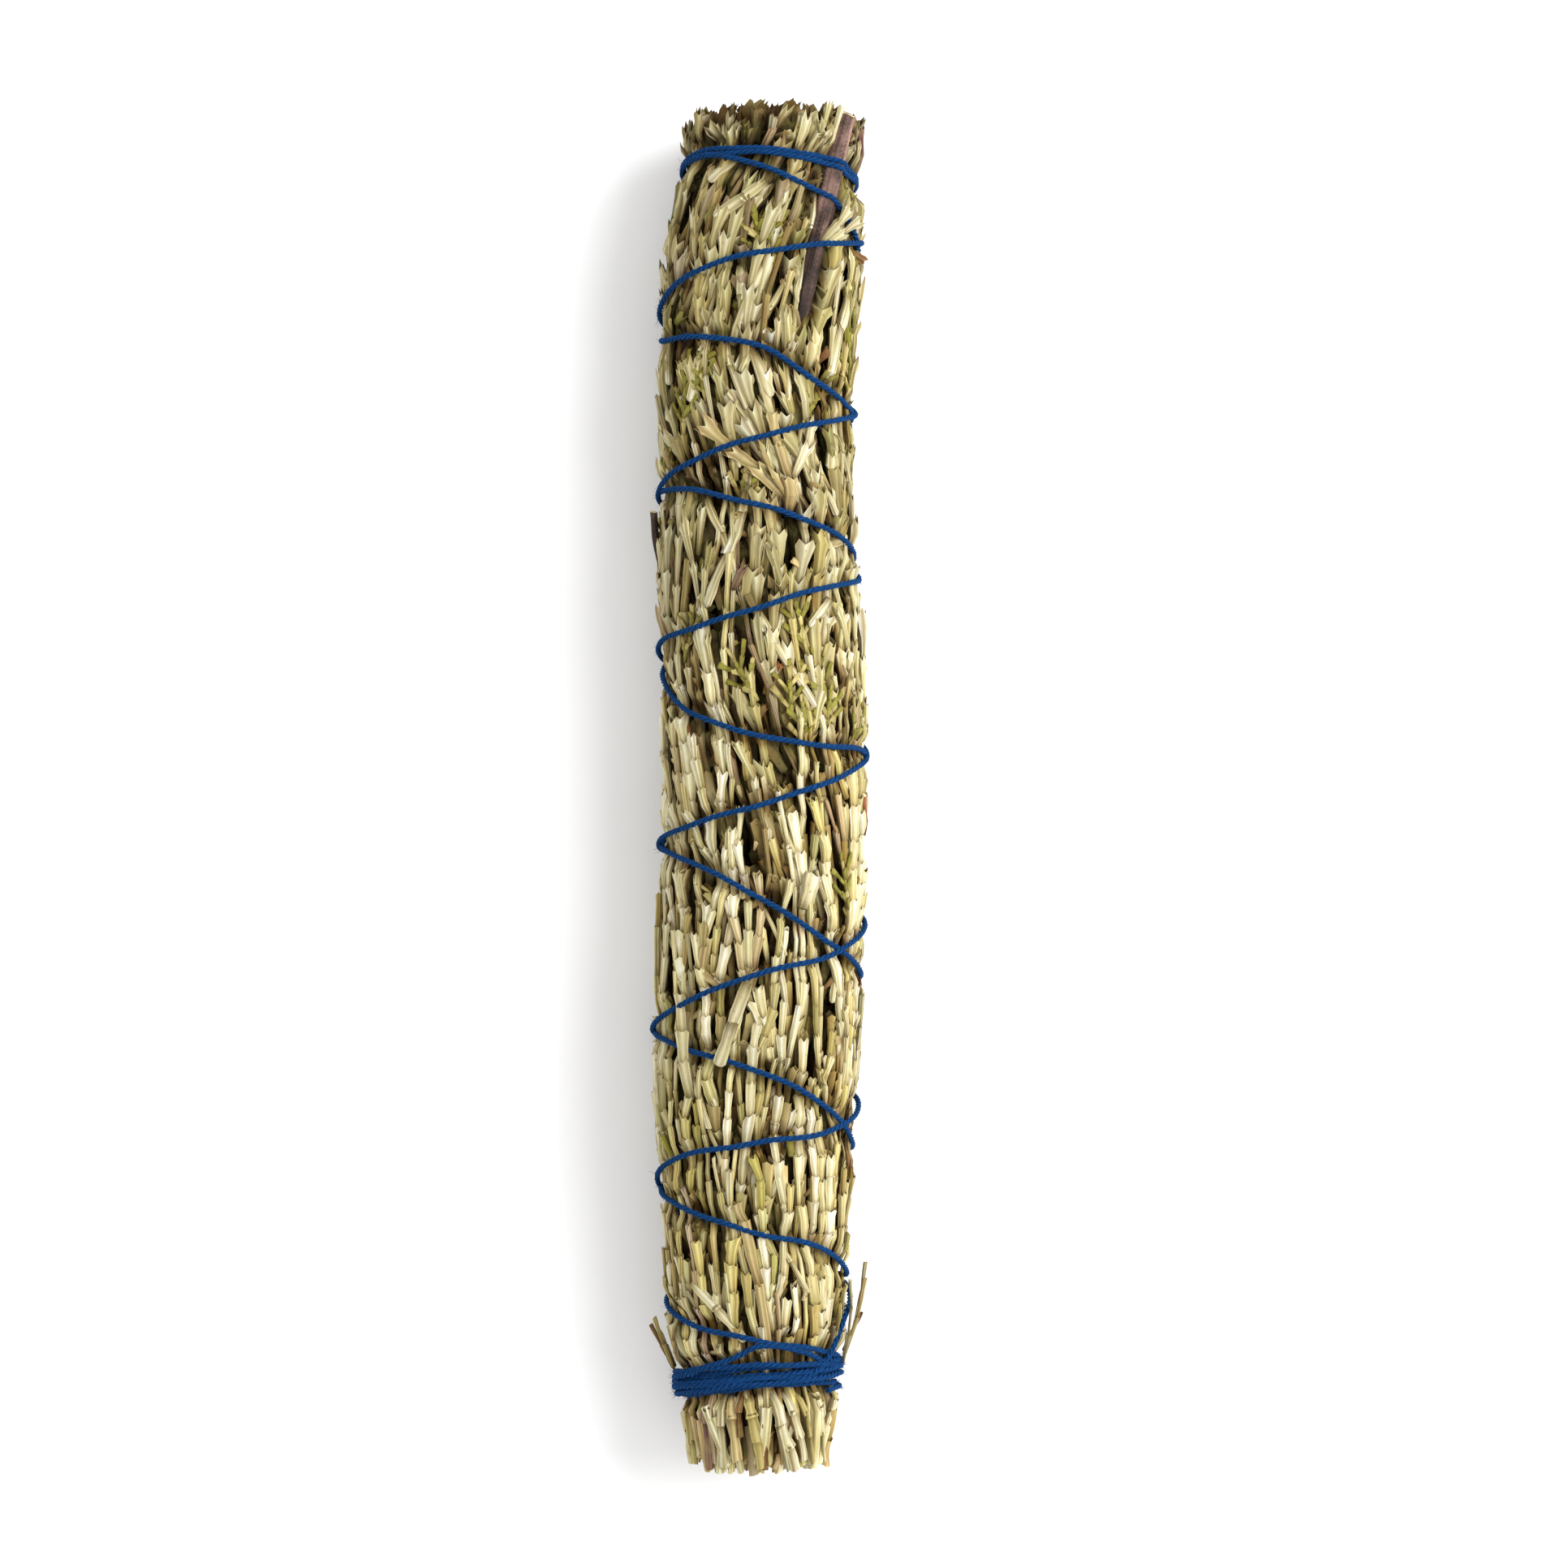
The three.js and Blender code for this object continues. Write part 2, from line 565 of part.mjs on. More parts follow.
// The origin goes under the middle of the stick.
const box = new THREE.Box3().setFromObject(smudgeStick);
smudgeStick.position.set(-(box.min.x + box.max.x) / 2, -(box.min.y + box.max.y) / 2, -box.min.z);

export default smudgeStick;
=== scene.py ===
"""A cedar smudge stick: the fine leaves, stems, twigs and thread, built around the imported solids.

Lengths are millimetres and angles are degrees until a mesh is made. Y runs along the stick from the cut
butt to the leafy tip and Z points up. Round the bundle, 0 is the right side seen from above, 90 the top,
180 the left side and 270 the underside.
"""

import logging
import math
from dataclasses import dataclass
from enum import Enum
from functools import partial

import bpy
import numpy as np
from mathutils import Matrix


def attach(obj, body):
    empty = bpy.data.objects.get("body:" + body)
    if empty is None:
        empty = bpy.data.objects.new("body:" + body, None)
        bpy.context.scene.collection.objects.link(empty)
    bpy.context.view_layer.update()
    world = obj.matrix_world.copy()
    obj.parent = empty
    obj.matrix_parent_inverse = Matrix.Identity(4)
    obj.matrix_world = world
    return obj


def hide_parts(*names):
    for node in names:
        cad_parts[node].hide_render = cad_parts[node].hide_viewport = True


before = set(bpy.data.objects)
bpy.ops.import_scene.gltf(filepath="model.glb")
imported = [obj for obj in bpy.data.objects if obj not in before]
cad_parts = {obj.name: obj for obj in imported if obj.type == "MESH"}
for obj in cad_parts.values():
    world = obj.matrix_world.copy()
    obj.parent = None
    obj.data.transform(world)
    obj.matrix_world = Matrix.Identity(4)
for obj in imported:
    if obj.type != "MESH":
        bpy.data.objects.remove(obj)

LOG = logging.getLogger("smudge_stick")
METRES = 0.001
BODY = "root"

Array = np.ndarray
Arrays = tuple[Array, Array, Array]
Draws = np.random.Generator
Socket = bpy.types.NodeSocket
Piece = bpy.types.Object
Range = tuple[float, float]
Triple = tuple[float, float, float]
Floats = tuple[float, ...]
Pairs = tuple[Range, ...]


def smoothstep(low: float, high: float, x: Array) -> Array:
    """Rise smoothly from 0 at low to 1 at high, by t * t * (3 - 2 t), at each value of x."""
    t = np.clip((np.asarray(x, float) - low) / (high - low), 0.0, 1.0)
    return t * t * (3.0 - 2.0 * t)


def smooth_curve(pairs: Pairs, x: Array) -> Array:
    """Read the cubic curve through the pairs, whose slope at each pair is that between its neighbours.

    Args:
        pairs: places and the values there, in rising order of place.
        x: the places to read.

    Returns:
        The value at each place, held level past both ends.
    """
    xs, vs = np.array(pairs, float).T
    slopes = np.empty_like(vs)
    slopes[1:-1] = (vs[2:] - vs[:-2]) / (xs[2:] - xs[:-2])
    slopes[0] = (vs[1] - vs[0]) / (xs[1] - xs[0])
    slopes[-1] = (vs[-1] - vs[-2]) / (xs[-1] - xs[-2])
    held = np.clip(np.asarray(x, float), xs[0], xs[-1])
    i = np.clip(np.searchsorted(xs, held, side="right") - 1, 0, len(xs) - 2)
    span = xs[i + 1] - xs[i]
    t = (held - xs[i]) / span
    start = slopes[i] * span
    end = slopes[i + 1] * span
    bend = 2.0 * (vs[i] - vs[i + 1]) + start + end
    return vs[i] + t * (start + t * (3.0 * (vs[i + 1] - vs[i]) - 2.0 * start - end + t * bend))


def unit(vectors: Array) -> Array:
    """Scale each vector to length 1."""
    return vectors / np.maximum(np.linalg.norm(vectors, axis=-1, keepdims=True), 1e-12)


def linear(red: float, green: float, blue: float) -> Array:
    """Turn a screen colour, 0 to 255, into the linear values that a shader mixes."""
    c = np.array([red, green, blue], float) / 255.0
    return np.where(c <= 0.04045, c / 12.92, ((c + 0.055) / 1.055) ** 2.4)


@dataclass(frozen=True)
class BundleForm:
    """The outer form of the bundle over its leaves, as the solids have it."""

    butt_end: float = -111.5
    tip_end: float = 111.6
    axis_height: float = 15.2
    height_share: float = 0.96
    shift: Triple = (0.0405, -0.1788, 0.0)
    half_width: Pairs = (
        (-113, 12.0), (-105, 12.9), (-99.5, 13.9), (-93, 14.3), (-86, 15.4), (-76, 15.6), (-66, 16.2),
        (-46, 17.3), (-26, 17.4), (0, 17.1), (25, 17.1), (42, 16.5), (52, 16.1), (68, 16.6), (90, 16.3),
        (100, 15.2), (113, 14.3),
    )
    sway: Pairs = (
        (-113, -0.2), (-60, -0.8), (-30, -0.2), (10, 0.6), (42, -0.7), (66, -0.5), (88, 0.4), (113, 2.6),
    )
    winding: Pairs = ((-113, 0), (-85, 7), (-50, 20), (-15, 22), (25, 48), (42, 46), (72, 70), (113, 36))

    def twist(self, y: Array) -> Array:
        """How far the sprigs have wound round the bundle at a station, in degrees."""
        return smooth_curve(self.winding, y)

    def rim(self, angle: Array, y: Array) -> Array:
        """The radius over the leaves: an ellipse, pressed flat where the stick lies on the surface.

        Args:
            angle: round the bundle.
            y: along it.

        Returns:
            The radius, across * up / hypot(up cos, across sin), cut off at the surface.
        """
        across = smooth_curve(self.half_width, y)
        up = across * self.height_share
        c = np.cos(np.radians(angle))
        s = np.sin(np.radians(angle))
        round_radius = across * up / np.hypot(up * c, across * s)
        flat_radius = self.axis_height / np.maximum(-s, 1e-6)
        return np.where(s < 0, np.minimum(round_radius, flat_radius), round_radius)

    def at_radius(self, angle: Array, y: Array, radius: Array) -> Array:
        """The point at a radius from the bundle's middle line.

        Args:
            angle: round the bundle.
            y: along it.
            radius: from the middle line.

        Returns:
            Points, three numbers each.
        """
        turn = np.radians(angle)
        turn, y, radius = np.broadcast_arrays(turn, np.asarray(y, float), np.asarray(radius, float))
        x = smooth_curve(self.sway, y) + radius * np.cos(turn)
        return np.stack([x, y, self.axis_height + radius * np.sin(turn)], axis=-1)

    def under(self, angle: Array, y: Array, depth: Array) -> Array:
        """The point that lies a depth under the leaves' outer surface."""
        return self.at_radius(angle, y, self.rim(angle, y) - depth)

    def outward(self, angle: Array) -> Array:
        """The direction out of the bundle at an angle round it."""
        turn = np.radians(angle)
        return np.stack([np.cos(turn), np.zeros_like(turn), np.sin(turn)], axis=-1)

    def unwrap(self, points: Array) -> Arrays:
        """Turn points into their angle, station and depth.

        Args:
            points: three numbers each.

        Returns:
            Angle from 0 to 360, station along the stick and depth under the leaves.
        """
        x = points[..., 0] - smooth_curve(self.sway, points[..., 1])
        z = points[..., 2] - self.axis_height
        angle = np.degrees(np.arctan2(z, x)) % 360.0
        return angle, points[..., 1], self.rim(angle, points[..., 1]) - np.hypot(x, z)


FORM = BundleForm()
LENGTH_LIMITS = (-112.4, 112.8)
WIDTH_LIMITS = (-18.28, 18.2)
HEIGHT_LIMITS = (0.01, 32.42)
SPRIG_SEED = 500
TWIG_SEED = 900
THREAD_SEED = 71
FUZZ_SEED = 72
TEXTURE_LENGTH = 6.0
SHARP_ANGLE = 30.0
TEXTURE_SPREAD = 40.0


@dataclass(frozen=True)
class Band:
    """A place where several turns of the thread lie side by side."""

    station: float
    across: float
    up: float
    half: float
    bottom: float

    def middle(self, angle: Array) -> Array:
        """The band's middle station, station + across cos + up sin."""
        turn = np.radians(angle)
        return self.station + self.across * np.cos(turn) + self.up * np.sin(turn)


@dataclass(frozen=True)
class ThreadRoute:
    """Where the one thread runs, by the angle that it has wound through."""

    depth: float = 0.66
    lift: float = 0.5
    turn_angles: Floats = (0, 45, 90, 135, 180, 270)
    rising: tuple[Floats, ...] = (
        (-94.2, -91.0, -89.2, -87.2, -84.4, -82.0),
        (-79.8, -74.5, -71.6, -68.7, -66.1, -62.5),
        (-58.9, -51.6, -45.5, -42.3, -40.4, -36.0),
        (-31.0, -25.2, -18.0, -12.1, -9.7, -2.5),
        (5.4, 6.4, 8.1, 11.6, 18.6, 28.0),
        (38.0, 41.8, 45.4, 48.0, 48.4, 54.5),
        (60.6, 64.6, 70.7, 72.7, 73.0, 80.0),
        (87.6, 94.9, 99.4, 102.1, 101.6, 101.0),
    )
    falling: tuple[Floats, ...] = (
        (101.0, 101.2, 101.6, 101.8, 100.6, 95.5),
        (89.1, 87.8, 85.7, 82.7, 77.6, 69.5),
        (61.2, 58.8, 56.1, 52.0, 47.8, 41.0),
        (34.2, 32.3, 28.7, 25.3, 22.3, 14.0),
        (5.1, 1.4, -2.9, -6.2, -9.6, -16.0),
        (-22.6, -27.1, -29.9, -35.1, -39.8, -46.0),
        (-52.3, -55.9, -57.1, -59.6, -64.6, -75.0),
    )
    last_fall: Pairs = ((0, -84.0), (18, -86.4), (30, -91.4), (42, -94.2), (54, -95.4))
    loop: Pairs = (
        (30, -94.6), (39, -93.2), (60, -91.1), (75, -90.0),
        (90, -90.1), (105, -91.9), (127, -93.8), (138, -95.0),
    )
    tip_entry: float = 198.0
    butt_band: Band = Band(station=-96.9, across=1.25, up=1.9, half=2.45, bottom=1.9)
    tip_band: Band = Band(station=100.3, across=-1.25, up=1.95, half=1.25, bottom=1.45)
    mean_radius: float = 16.0
    seat_flat: float = 1.0
    seat_end: float = 2.9
    low_seat: float = 0.95
    over_seat: float = 0.6
    clear_under: float = 0.1
    clear_flat: float = 0.8
    clear_rise: float = 2.6
    clear_end: float = 3.2
    band_seat_over: float = 0.3
    band_seat_flat: float = 0.2
    band_seat_end: float = 2.2
    band_clear_over: float = 0.5
    band_clear_rise: float = 3.6
    band_clear_end: float = 1.6

    def wound(self) -> Pairs:
        """Put the whole winding together.

        Returns:
            Pairs of the angle wound through and the station there.
        """
        pairs = []
        for k, turn in enumerate(self.rising + self.falling):
            pairs += [(360.0 * k + angle, station) for angle, station in zip(self.turn_angles, turn)]
        start = 360.0 * (len(self.rising) + len(self.falling))
        pairs += [(start + angle, station) for angle, station in self.last_fall]
        return tuple(pairs)

    def risen(self) -> float:
        """The angle wound through at the top."""
        return 360.0 * len(self.rising)

    def over_depth(self, angle: Array) -> Array:
        """The depth of a falling turn, which lies over the rising ones, except underneath."""
        return self.depth - self.lift * smoothstep(-0.6, -0.2, np.sin(np.radians(angle)))

    def press(self, angle: Array, y: Array) -> tuple[Array, Array]:
        """How far the thread presses the leaves in at a place, and how deep they lie there at the least.

        The press is full within seat_flat of a turn, or band_seat_flat of a band's edge, and falls smoothly
        to nothing at seat_end, or band_seat_end. Right beside a turn nothing lies higher than its middle, and
        further off that rises by clear_rise, or beside a band by band_clear_rise.

        Args:
            angle: round the bundle.
            y: along it.

        Returns:
            The extra depth, the largest of those of all turns and bands there, and the least depth.
        """
        path = self.wound()
        turn = np.asarray(angle, float) % 360.0
        pressed = np.zeros(np.broadcast(turn, y).shape)
        least = np.full(pressed.shape, -self.clear_rise)
        for k in range(len(self.rising) + len(self.falling) + 1):
            wound = turn + 360.0 * k
            station = smooth_curve(path, wound)
            slope = (smooth_curve(path, wound + 1.0) - station) / (math.radians(1.0) * self.mean_radius)
            away = np.abs(y - station) / np.hypot(1.0, slope)
            runs_up = wound <= self.risen() - self.tip_entry
            runs_down = (wound >= self.risen() + self.tip_entry) & (wound <= path[-1][0])
            seat = np.where(runs_up, self.low_seat, np.where(runs_down, self.over_seat, 0.0))
            pressed = np.maximum(pressed, seat * (1.0 - smoothstep(self.seat_flat, self.seat_end, away)))
            middle = np.where(runs_up, self.depth, self.over_depth(wound))
            rise = self.clear_rise * smoothstep(self.clear_flat, self.clear_end, away)
            clear = middle + self.clear_under - rise
            least = np.where(runs_up | runs_down, np.maximum(least, clear), least)
        for band in (self.butt_band, self.tip_band):
            away = np.abs(y - band.middle(turn)) - band.half
            beside = 1.0 - smoothstep(self.band_seat_flat, self.band_seat_end, away)
            pressed = np.maximum(pressed, (band.bottom - self.band_seat_over) * beside)
            rise = self.band_clear_rise * smoothstep(0.0, self.band_clear_end, away)
            least = np.maximum(least, band.bottom - self.band_clear_over - rise)
        return pressed, least


ROUTE = ThreadRoute()


@dataclass(frozen=True)
class TwigRun:
    """Where a bare twig runs: between two places, each given as angle, station and depth."""

    begin: Triple
    end: Triple
    radii: Range
    crook: float = 0.2
    room: float = 0.15
    turning: float = 1.0
    rising: float = 0.7
    hidden: float = 0.0
    crook_waves: float = 2.3
    crook_phase: float = 0.7
    ease_within: float = 1.0
    ease_past: float = 3.0
    shows_by: float = 0.4

    def at(self, y: Array) -> Arrays:
        """Read the twig at a station.

        Args:
            y: the station.

        Returns:
            Its angle, its middle's depth and its radius there. The angle goes to its end by t ** turning,
            and the other two by t ** rising.
        """
        t = np.clip((np.asarray(y, float) - self.begin[1]) / (self.end[1] - self.begin[1]), 0.0, 1.0)
        depth = self.begin[2] + (self.end[2] - self.begin[2]) * t**self.rising
        wave = self.crook * np.sin(self.crook_waves * np.pi * t + self.crook_phase)
        depth = depth + wave * np.sin(np.pi * t)
        radius = self.radii[0] + (self.radii[1] - self.radii[0]) * t**self.rising
        return self.begin[0] + (self.end[0] - self.begin[0]) * t**self.turning, depth, radius

    def beside(self, angle: Array, y: Array, depth: Array) -> tuple[Array, Array]:
        """How a place lies to the twig.

        Args:
            angle: round the bundle.
            y: along it.
            depth: under the leaves' outer surface.

        Returns:
            The way round the bundle from the twig to it, and a share that is 1 along the twig and 0 past it.
        """
        own, _, _ = self.at(y)
        way = np.radians((angle - own + 180.0) % 360.0 - 180.0) * (FORM.rim(angle, y) - depth)
        low, high = sorted((self.begin[1], self.end[1]))
        bare_from = low + self.ease_within + 1.5 * self.hidden
        bare = smoothstep(low - self.ease_past + self.hidden, bare_from, y)
        return way, bare * (1.0 - smoothstep(high - self.ease_within, high + self.ease_past, y))

    def aside(self, angle: Array, y: Array, depth: Array, half_width: float) -> Array:
        """How far a chain of leaves moves round the bundle so as to lie beside the twig.

        Args:
            angle: the chain's angles.
            y: its stations.
            depth: its depths.
            half_width: half its width.

        Returns:
            The move in millimetres, all to the side on which most of the chain lies.
        """
        way, share = self.beside(angle, y, depth)
        _, own_depth, radius = self.at(y)
        side = 1.0 if np.sum(way * share) >= 0.0 else -1.0
        over = 1.0 - smoothstep(0.3, 1.2, depth - own_depth)
        return side * np.maximum(0.0, radius + self.room + half_width - side * way) * share * over

    def press(self, angle: Array, y: Array, depth: Array) -> Array:
        """How much deeper the leaves over the twig lie, so that it shows.

        Args:
            angle: round the bundle.
            y: along it.
            depth: where the leaves would lie.

        Returns:
            The extra depth, which brings them to shows_by of its radius under its middle.
        """
        way, share = self.beside(angle, y, depth)
        _, own_depth, radius = self.at(y)
        near = 1.0 - smoothstep(0.0, 0.9, np.abs(way) - radius - self.room)
        return np.maximum(0.0, own_depth + self.shows_by * radius - depth) * near * share

    def lifted(self, angle: Array, y: Array, depth: Array, thread_radius: float) -> Array:
        """The depth of a thread that passes over the twig rather than through it.

        Args:
            angle: round the bundle.
            y: along it.
            depth: where the thread would lie.
            thread_radius: half its thickness.

        Returns:
            The lesser of its depth and that over the twig's top, which is
            own_depth - sqrt(radius^2 - way^2) - thread_radius.
        """
        way, share = self.beside(angle, y, depth)
        _, own_depth, radius = self.at(y)
        top = own_depth - np.sqrt(np.maximum(radius**2 - way**2, 0.0)) - thread_radius
        over = (np.abs(way) < radius) & (share > 0.5)
        return np.where(over, np.minimum(depth, top), depth)


BARK_RUN = TwigRun(
    (59, 74, 3.4), (25, 111.0, 1.75), (1.1, 2.1), crook=0.12, room=-0.1, turning=1.5, rising=0.5, hidden=3.0
)
DARK_RUN = TwigRun((172, 34.5, 1.4), (179, 45.4, -0.5), (0.55, 0.6), crook=0.1)
RED_RUN = TwigRun((7, -11.6, 1.0), (12, -1.2, 0.2), (0.55, 0.4), crook=0.25)
TWIG_RUNS = (BARK_RUN, DARK_RUN, RED_RUN)


class Tone(Enum):
    """The colours of the dried sprigs, as screen colours."""

    STRAW = (216, 207, 171)
    PALE = (200, 191, 152)
    OLIVE = (178, 163, 104)
    SAGE = (172, 164, 114)
    GREEN = (126, 122, 46)
    TAN = (190, 170, 122)
    BROWN = (122, 88, 54)
    PURPLE = (128, 94, 90)
    RUST = (134, 76, 48)

    def colour(self) -> Array:
        """The tone in linear values."""
        return linear(*self.value)


@dataclass(frozen=True)
class ToneMix:
    """How often each tone turns up, as shares."""

    tones: tuple[Tone, ...]
    shares: Floats

    def draw(self, rng: Draws) -> Array:
        """One tone's colour, drawn by its share."""
        shares = np.array(self.shares) / sum(self.shares)
        return self.tones[rng.choice(len(self.tones), p=shares)].colour()


LEAF_MIX = ToneMix(
    (Tone.STRAW, Tone.PALE, Tone.OLIVE, Tone.SAGE, Tone.GREEN, Tone.TAN, Tone.BROWN, Tone.PURPLE),
    (0.2, 0.28, 0.24, 0.13, 0.04, 0.06, 0.04, 0.01),
)
STEM_MIX = ToneMix(
    (Tone.STRAW, Tone.TAN, Tone.OLIVE, Tone.PALE, Tone.BROWN, Tone.PURPLE),
    (0.24, 0.2, 0.22, 0.2, 0.08, 0.06),
)
CRUMB_MIX = ToneMix(
    (Tone.STRAW, Tone.OLIVE, Tone.GREEN, Tone.TAN, Tone.BROWN, Tone.RUST),
    (0.3, 0.25, 0.15, 0.15, 0.12, 0.03),
)
SPRAY_MIX = ToneMix((Tone.GREEN, Tone.OLIVE), (0.7, 0.3))
CUT_COLOUR = linear(226, 205, 150)
TIP_BROWN = linear(120, 84, 48)
# Painted shade: the dark brown, its tint and the warmth that DepthShade mixes into the leaves by their depth.
PAINTED_SHADE_BROWN = linear(64, 42, 12)
PAINTED_SHADE_TINT = np.array([1.25, 0.85, 0.5])
PAINTED_SHADE_WARMTH = np.array([0.8, 1.0, 1.3])
TRIMMED_AT = 110.8
TRIM_SHARE = 0.6


@dataclass
class Joints:
    """Many joints of scale leaves as arrays, one row for each joint."""

    base: Array
    tip: Array
    out: Array
    width: Array
    thick: Array
    neck: Array
    grow: Array
    flare: Array
    tooth: Array
    colour: Array
    cut: Array
    blunt: Array
    pressed: Array

    @staticmethod
    def join(parts: list["Joints"]) -> "Joints":
        """Put several lots of joints into one."""
        names = Joints.__dataclass_fields__
        return Joints(**{name: np.concatenate([getattr(part, name) for part in parts]) for name in names})

    def round_end(self, tooth: float, flare: float, neck: float) -> None:
        """Give a chain a blunt last joint and plainer crowns.

        Args:
            tooth: how long the crowns' teeth are now.
            flare: how much the crowns widen.
            neck: how wide the necks are, as a share.
        """
        self.blunt[-1] = True
        self.tooth[:] = tooth
        self.flare[:] = flare
        self.neck[:] = neck


@dataclass(frozen=True)
class JointMesher:
    """Turns joints into one mesh. Each joint is a flattened goblet whose crown is open and toothed.

    Round the joint go the columns, and along it the rings: the neck, those on the body, the crown's outer
    edge and its inner edge. A point closes it inside the neck and another closes the bottom of the cup. A
    blunt joint has a low dome in place of the cup.
    """

    columns: int = 12
    rings: Floats = (0.0, 0.26, 0.5, 0.74, 1.0, 0.94)
    cup: float = 0.76
    cup_share: float = 0.87
    squareness: float = 0.74
    deep_cup_share: float = 0.85
    dome_share: float = 0.6
    dome_rise: Range = (0.06, 0.2)
    dome_top: float = 0.28
    grooves: Floats = (1.0, 1.0, 0.76, 1.06, 0.76, 1.0)
    # Painted light and shade by column: painted shade at the sides where a joint turns away and meets its
    # neighbours, darker seam grooves between the scale leaves that are partly their own colour, and a lighter
    # middle of each face as a painted highlight.
    column_painted_light_and_shade: Floats = (0.3, 0.95, 0.55, 1.12, 0.55, 0.95)
    # Painted light and shade by ring: painted shade at the neck inside the crown below, a pale crown rim that
    # is partly the leaf's own paler colour and partly a painted highlight, and painted shade in the cup.
    ring_painted_light_and_shade: Floats = (0.24, 0.78, 0.94, 1.02, 1.24, 0.13)
    # Warms the painted shade and makes the painted highlights a little bluer.
    warmth: Triple = (0.86, 1.0, 1.3)
    cut_shade: float = 1.15
    # Dims the crown rim's painted highlight in the lower part.
    lower_dimming: float = 0.17
    dome_shade: float = 1.1
    column_spread: float = 0.1
    most_brown: float = 0.6
    # Painted shade at the point inside the neck and at the bottom of the cup.
    neck_painted_shade: float = 0.4
    cup_painted_shade: float = 0.16
    unevenness: float = 0.07
    deep_flare: float = 0.7
    tooth_range: Range = (0.25, 1.0)
    notch_share: float = 0.6
    inner_teeth: float = 0.8
    splay: float = 0.22
    tilt: float = 0.16
    tilted_rings: Triple = (0.5, 1.0, 1.0)
    cut_slant: float = 0.3
    dents: float = 0.05
    bow: float = 0.12
    neck_inset: float = 0.05

    def faces(self) -> Arrays:
        """The faces of one joint.

        Returns:
            The corner vertices, each corner's column and ring in texture space, and each face's corner count.
        """
        corners, places, counts = [], [], []
        rings, columns = len(self.rings), self.columns
        neck_point = rings * columns
        cup_point = neck_point + 1

        def corner(ring: int, column: int) -> None:
            corners.append(ring * columns + column % columns)
            places.append((column / columns, self.rings[ring]))

        for column in range(columns):
            corners.append(neck_point)
            places.append(((column + 0.5) / columns, -self.neck_inset))
            corner(0, column)
            corner(0, column + 1)
            counts.append(3)
            for ring in range(rings - 1):
                corner(ring, column)
                corner(ring + 1, column)
                corner(ring + 1, column + 1)
                corner(ring, column + 1)
                counts.append(4)
            corner(rings - 1, column)
            corners.append(cup_point)
            places.append(((column + 0.5) / columns, self.cup))
            corner(rings - 1, column + 1)
            counts.append(3)
        return np.array(corners), np.array(places), np.array(counts)

    def shape(self, joints: Joints, rng: Draws) -> tuple[Array, Array]:
        """Work out every joint's points.

        A ring's half-width is width / 2 * (neck + (1 - neck) v^grow + flare v^4), and its points are
        (cos^squareness, sin^squareness) of it, with two grooves along each face. The crown's edge moves
        along the joint by a drawn tooth at each column, and the longer teeth stand out further. The crown
        as a whole is tilted by a drawn amount times cos(turn - phase), except on a blunt joint.

        Args:
            joints: what to shape.
            rng: the seeded draws.

        Returns:
            Points, joints by points by three, and their colours, the same.
        """
        count = len(joints.width)
        v = np.array(self.rings)
        turn = 2.0 * np.pi * np.arange(self.columns) / self.columns
        round_x = np.sign(np.cos(turn)) * np.abs(np.cos(turn)) ** self.squareness
        round_z = np.sign(np.sin(turn)) * np.abs(np.sin(turn)) ** self.squareness
        round_z = round_z * np.tile(self.grooves, 2)[: self.columns]
        neck = joints.neck[:, None]
        body = neck + (1.0 - neck) * v ** joints.grow[:, None]
        body = body * (1.0 + self.unevenness * rng.normal(size=body.shape))
        across = 0.5 * joints.width[:, None] * (body + joints.flare[:, None] * v**4)
        deep = 0.5 * joints.thick[:, None] * (body + self.deep_flare * joints.flare[:, None] * v**4)
        across[:, -1] = across[:, -2] * np.where(joints.blunt, self.dome_share, self.cup_share)
        deep_cup = self.cup_share * self.deep_cup_share
        deep[:, -1] = deep[:, -2] * np.where(joints.blunt, self.dome_share, deep_cup)
        x = across[:, :, None] * round_x
        z = deep[:, :, None] * round_z
        length = np.linalg.norm(joints.tip - joints.base, axis=1)
        along = np.broadcast_to((length[:, None] * v)[:, :, None], x.shape).copy()
        jag = rng.uniform(*self.tooth_range, (count, self.columns)) * joints.tooth[:, None]
        jag = np.where(np.arange(self.columns) % 2 == 0, jag, -self.notch_share * jag)
        along[:, -2] += jag
        along[:, -1] += self.inner_teeth * jag
        dome_rise = self.dome_rise[0] * length + self.dome_rise[1] * joints.width
        along[:, -1] += (joints.blunt * dome_rise)[:, None]
        tilt = (self.tilt * rng.normal(size=count) * joints.width * ~joints.blunt)[:, None]
        tilted = tilt * np.cos(turn[None] - rng.uniform(0.0, 2.0 * np.pi, (count, 1)))
        along[:, -3:] += tilted[:, None] * np.array(self.tilted_rings)[:, None]
        slant = self.cut_slant * joints.cut * joints.width
        phase = rng.uniform(0.0, 2.0 * np.pi, (count, 1))
        ragged = self.cut_slant * (rng.random((count, self.columns)) - 0.5)
        along[:, 0] += slant[:, None] * (np.cos(turn[None] - phase) + ragged)
        splay = 1.0 + self.splay * np.maximum(jag, 0.0) / joints.width[:, None]
        x[:, -2] *= splay
        z[:, -2] *= splay
        z[:, -3] += self.dents * joints.thick[:, None] * rng.normal(size=(count, self.columns))
        bow = joints.thick * self.bow * rng.normal(size=count)
        z += bow[:, None, None] * (4.0 * v * (1.0 - v))[None, :, None]
        points = np.stack([x, along, z], axis=-1).reshape(count, -1, 3)
        ends = np.zeros((count, 2, 3))
        ends[:, 0, 1] = np.where(joints.cut, 0.0, -self.neck_inset) * length
        ends[:, 1, 1] = np.where(joints.blunt, length + self.dome_top * joints.width, self.cup * length)
        points = np.concatenate([points, ends], axis=1)

        direction = unit(joints.tip - joints.base)
        side = unit(np.cross(direction, joints.out))
        face = np.cross(side, direction)
        axes = np.stack([side, direction, face], axis=1)
        placed = joints.base[:, None] + np.einsum("npk,nkc->npc", points, axes)
        return placed, self.shades(joints, rng)

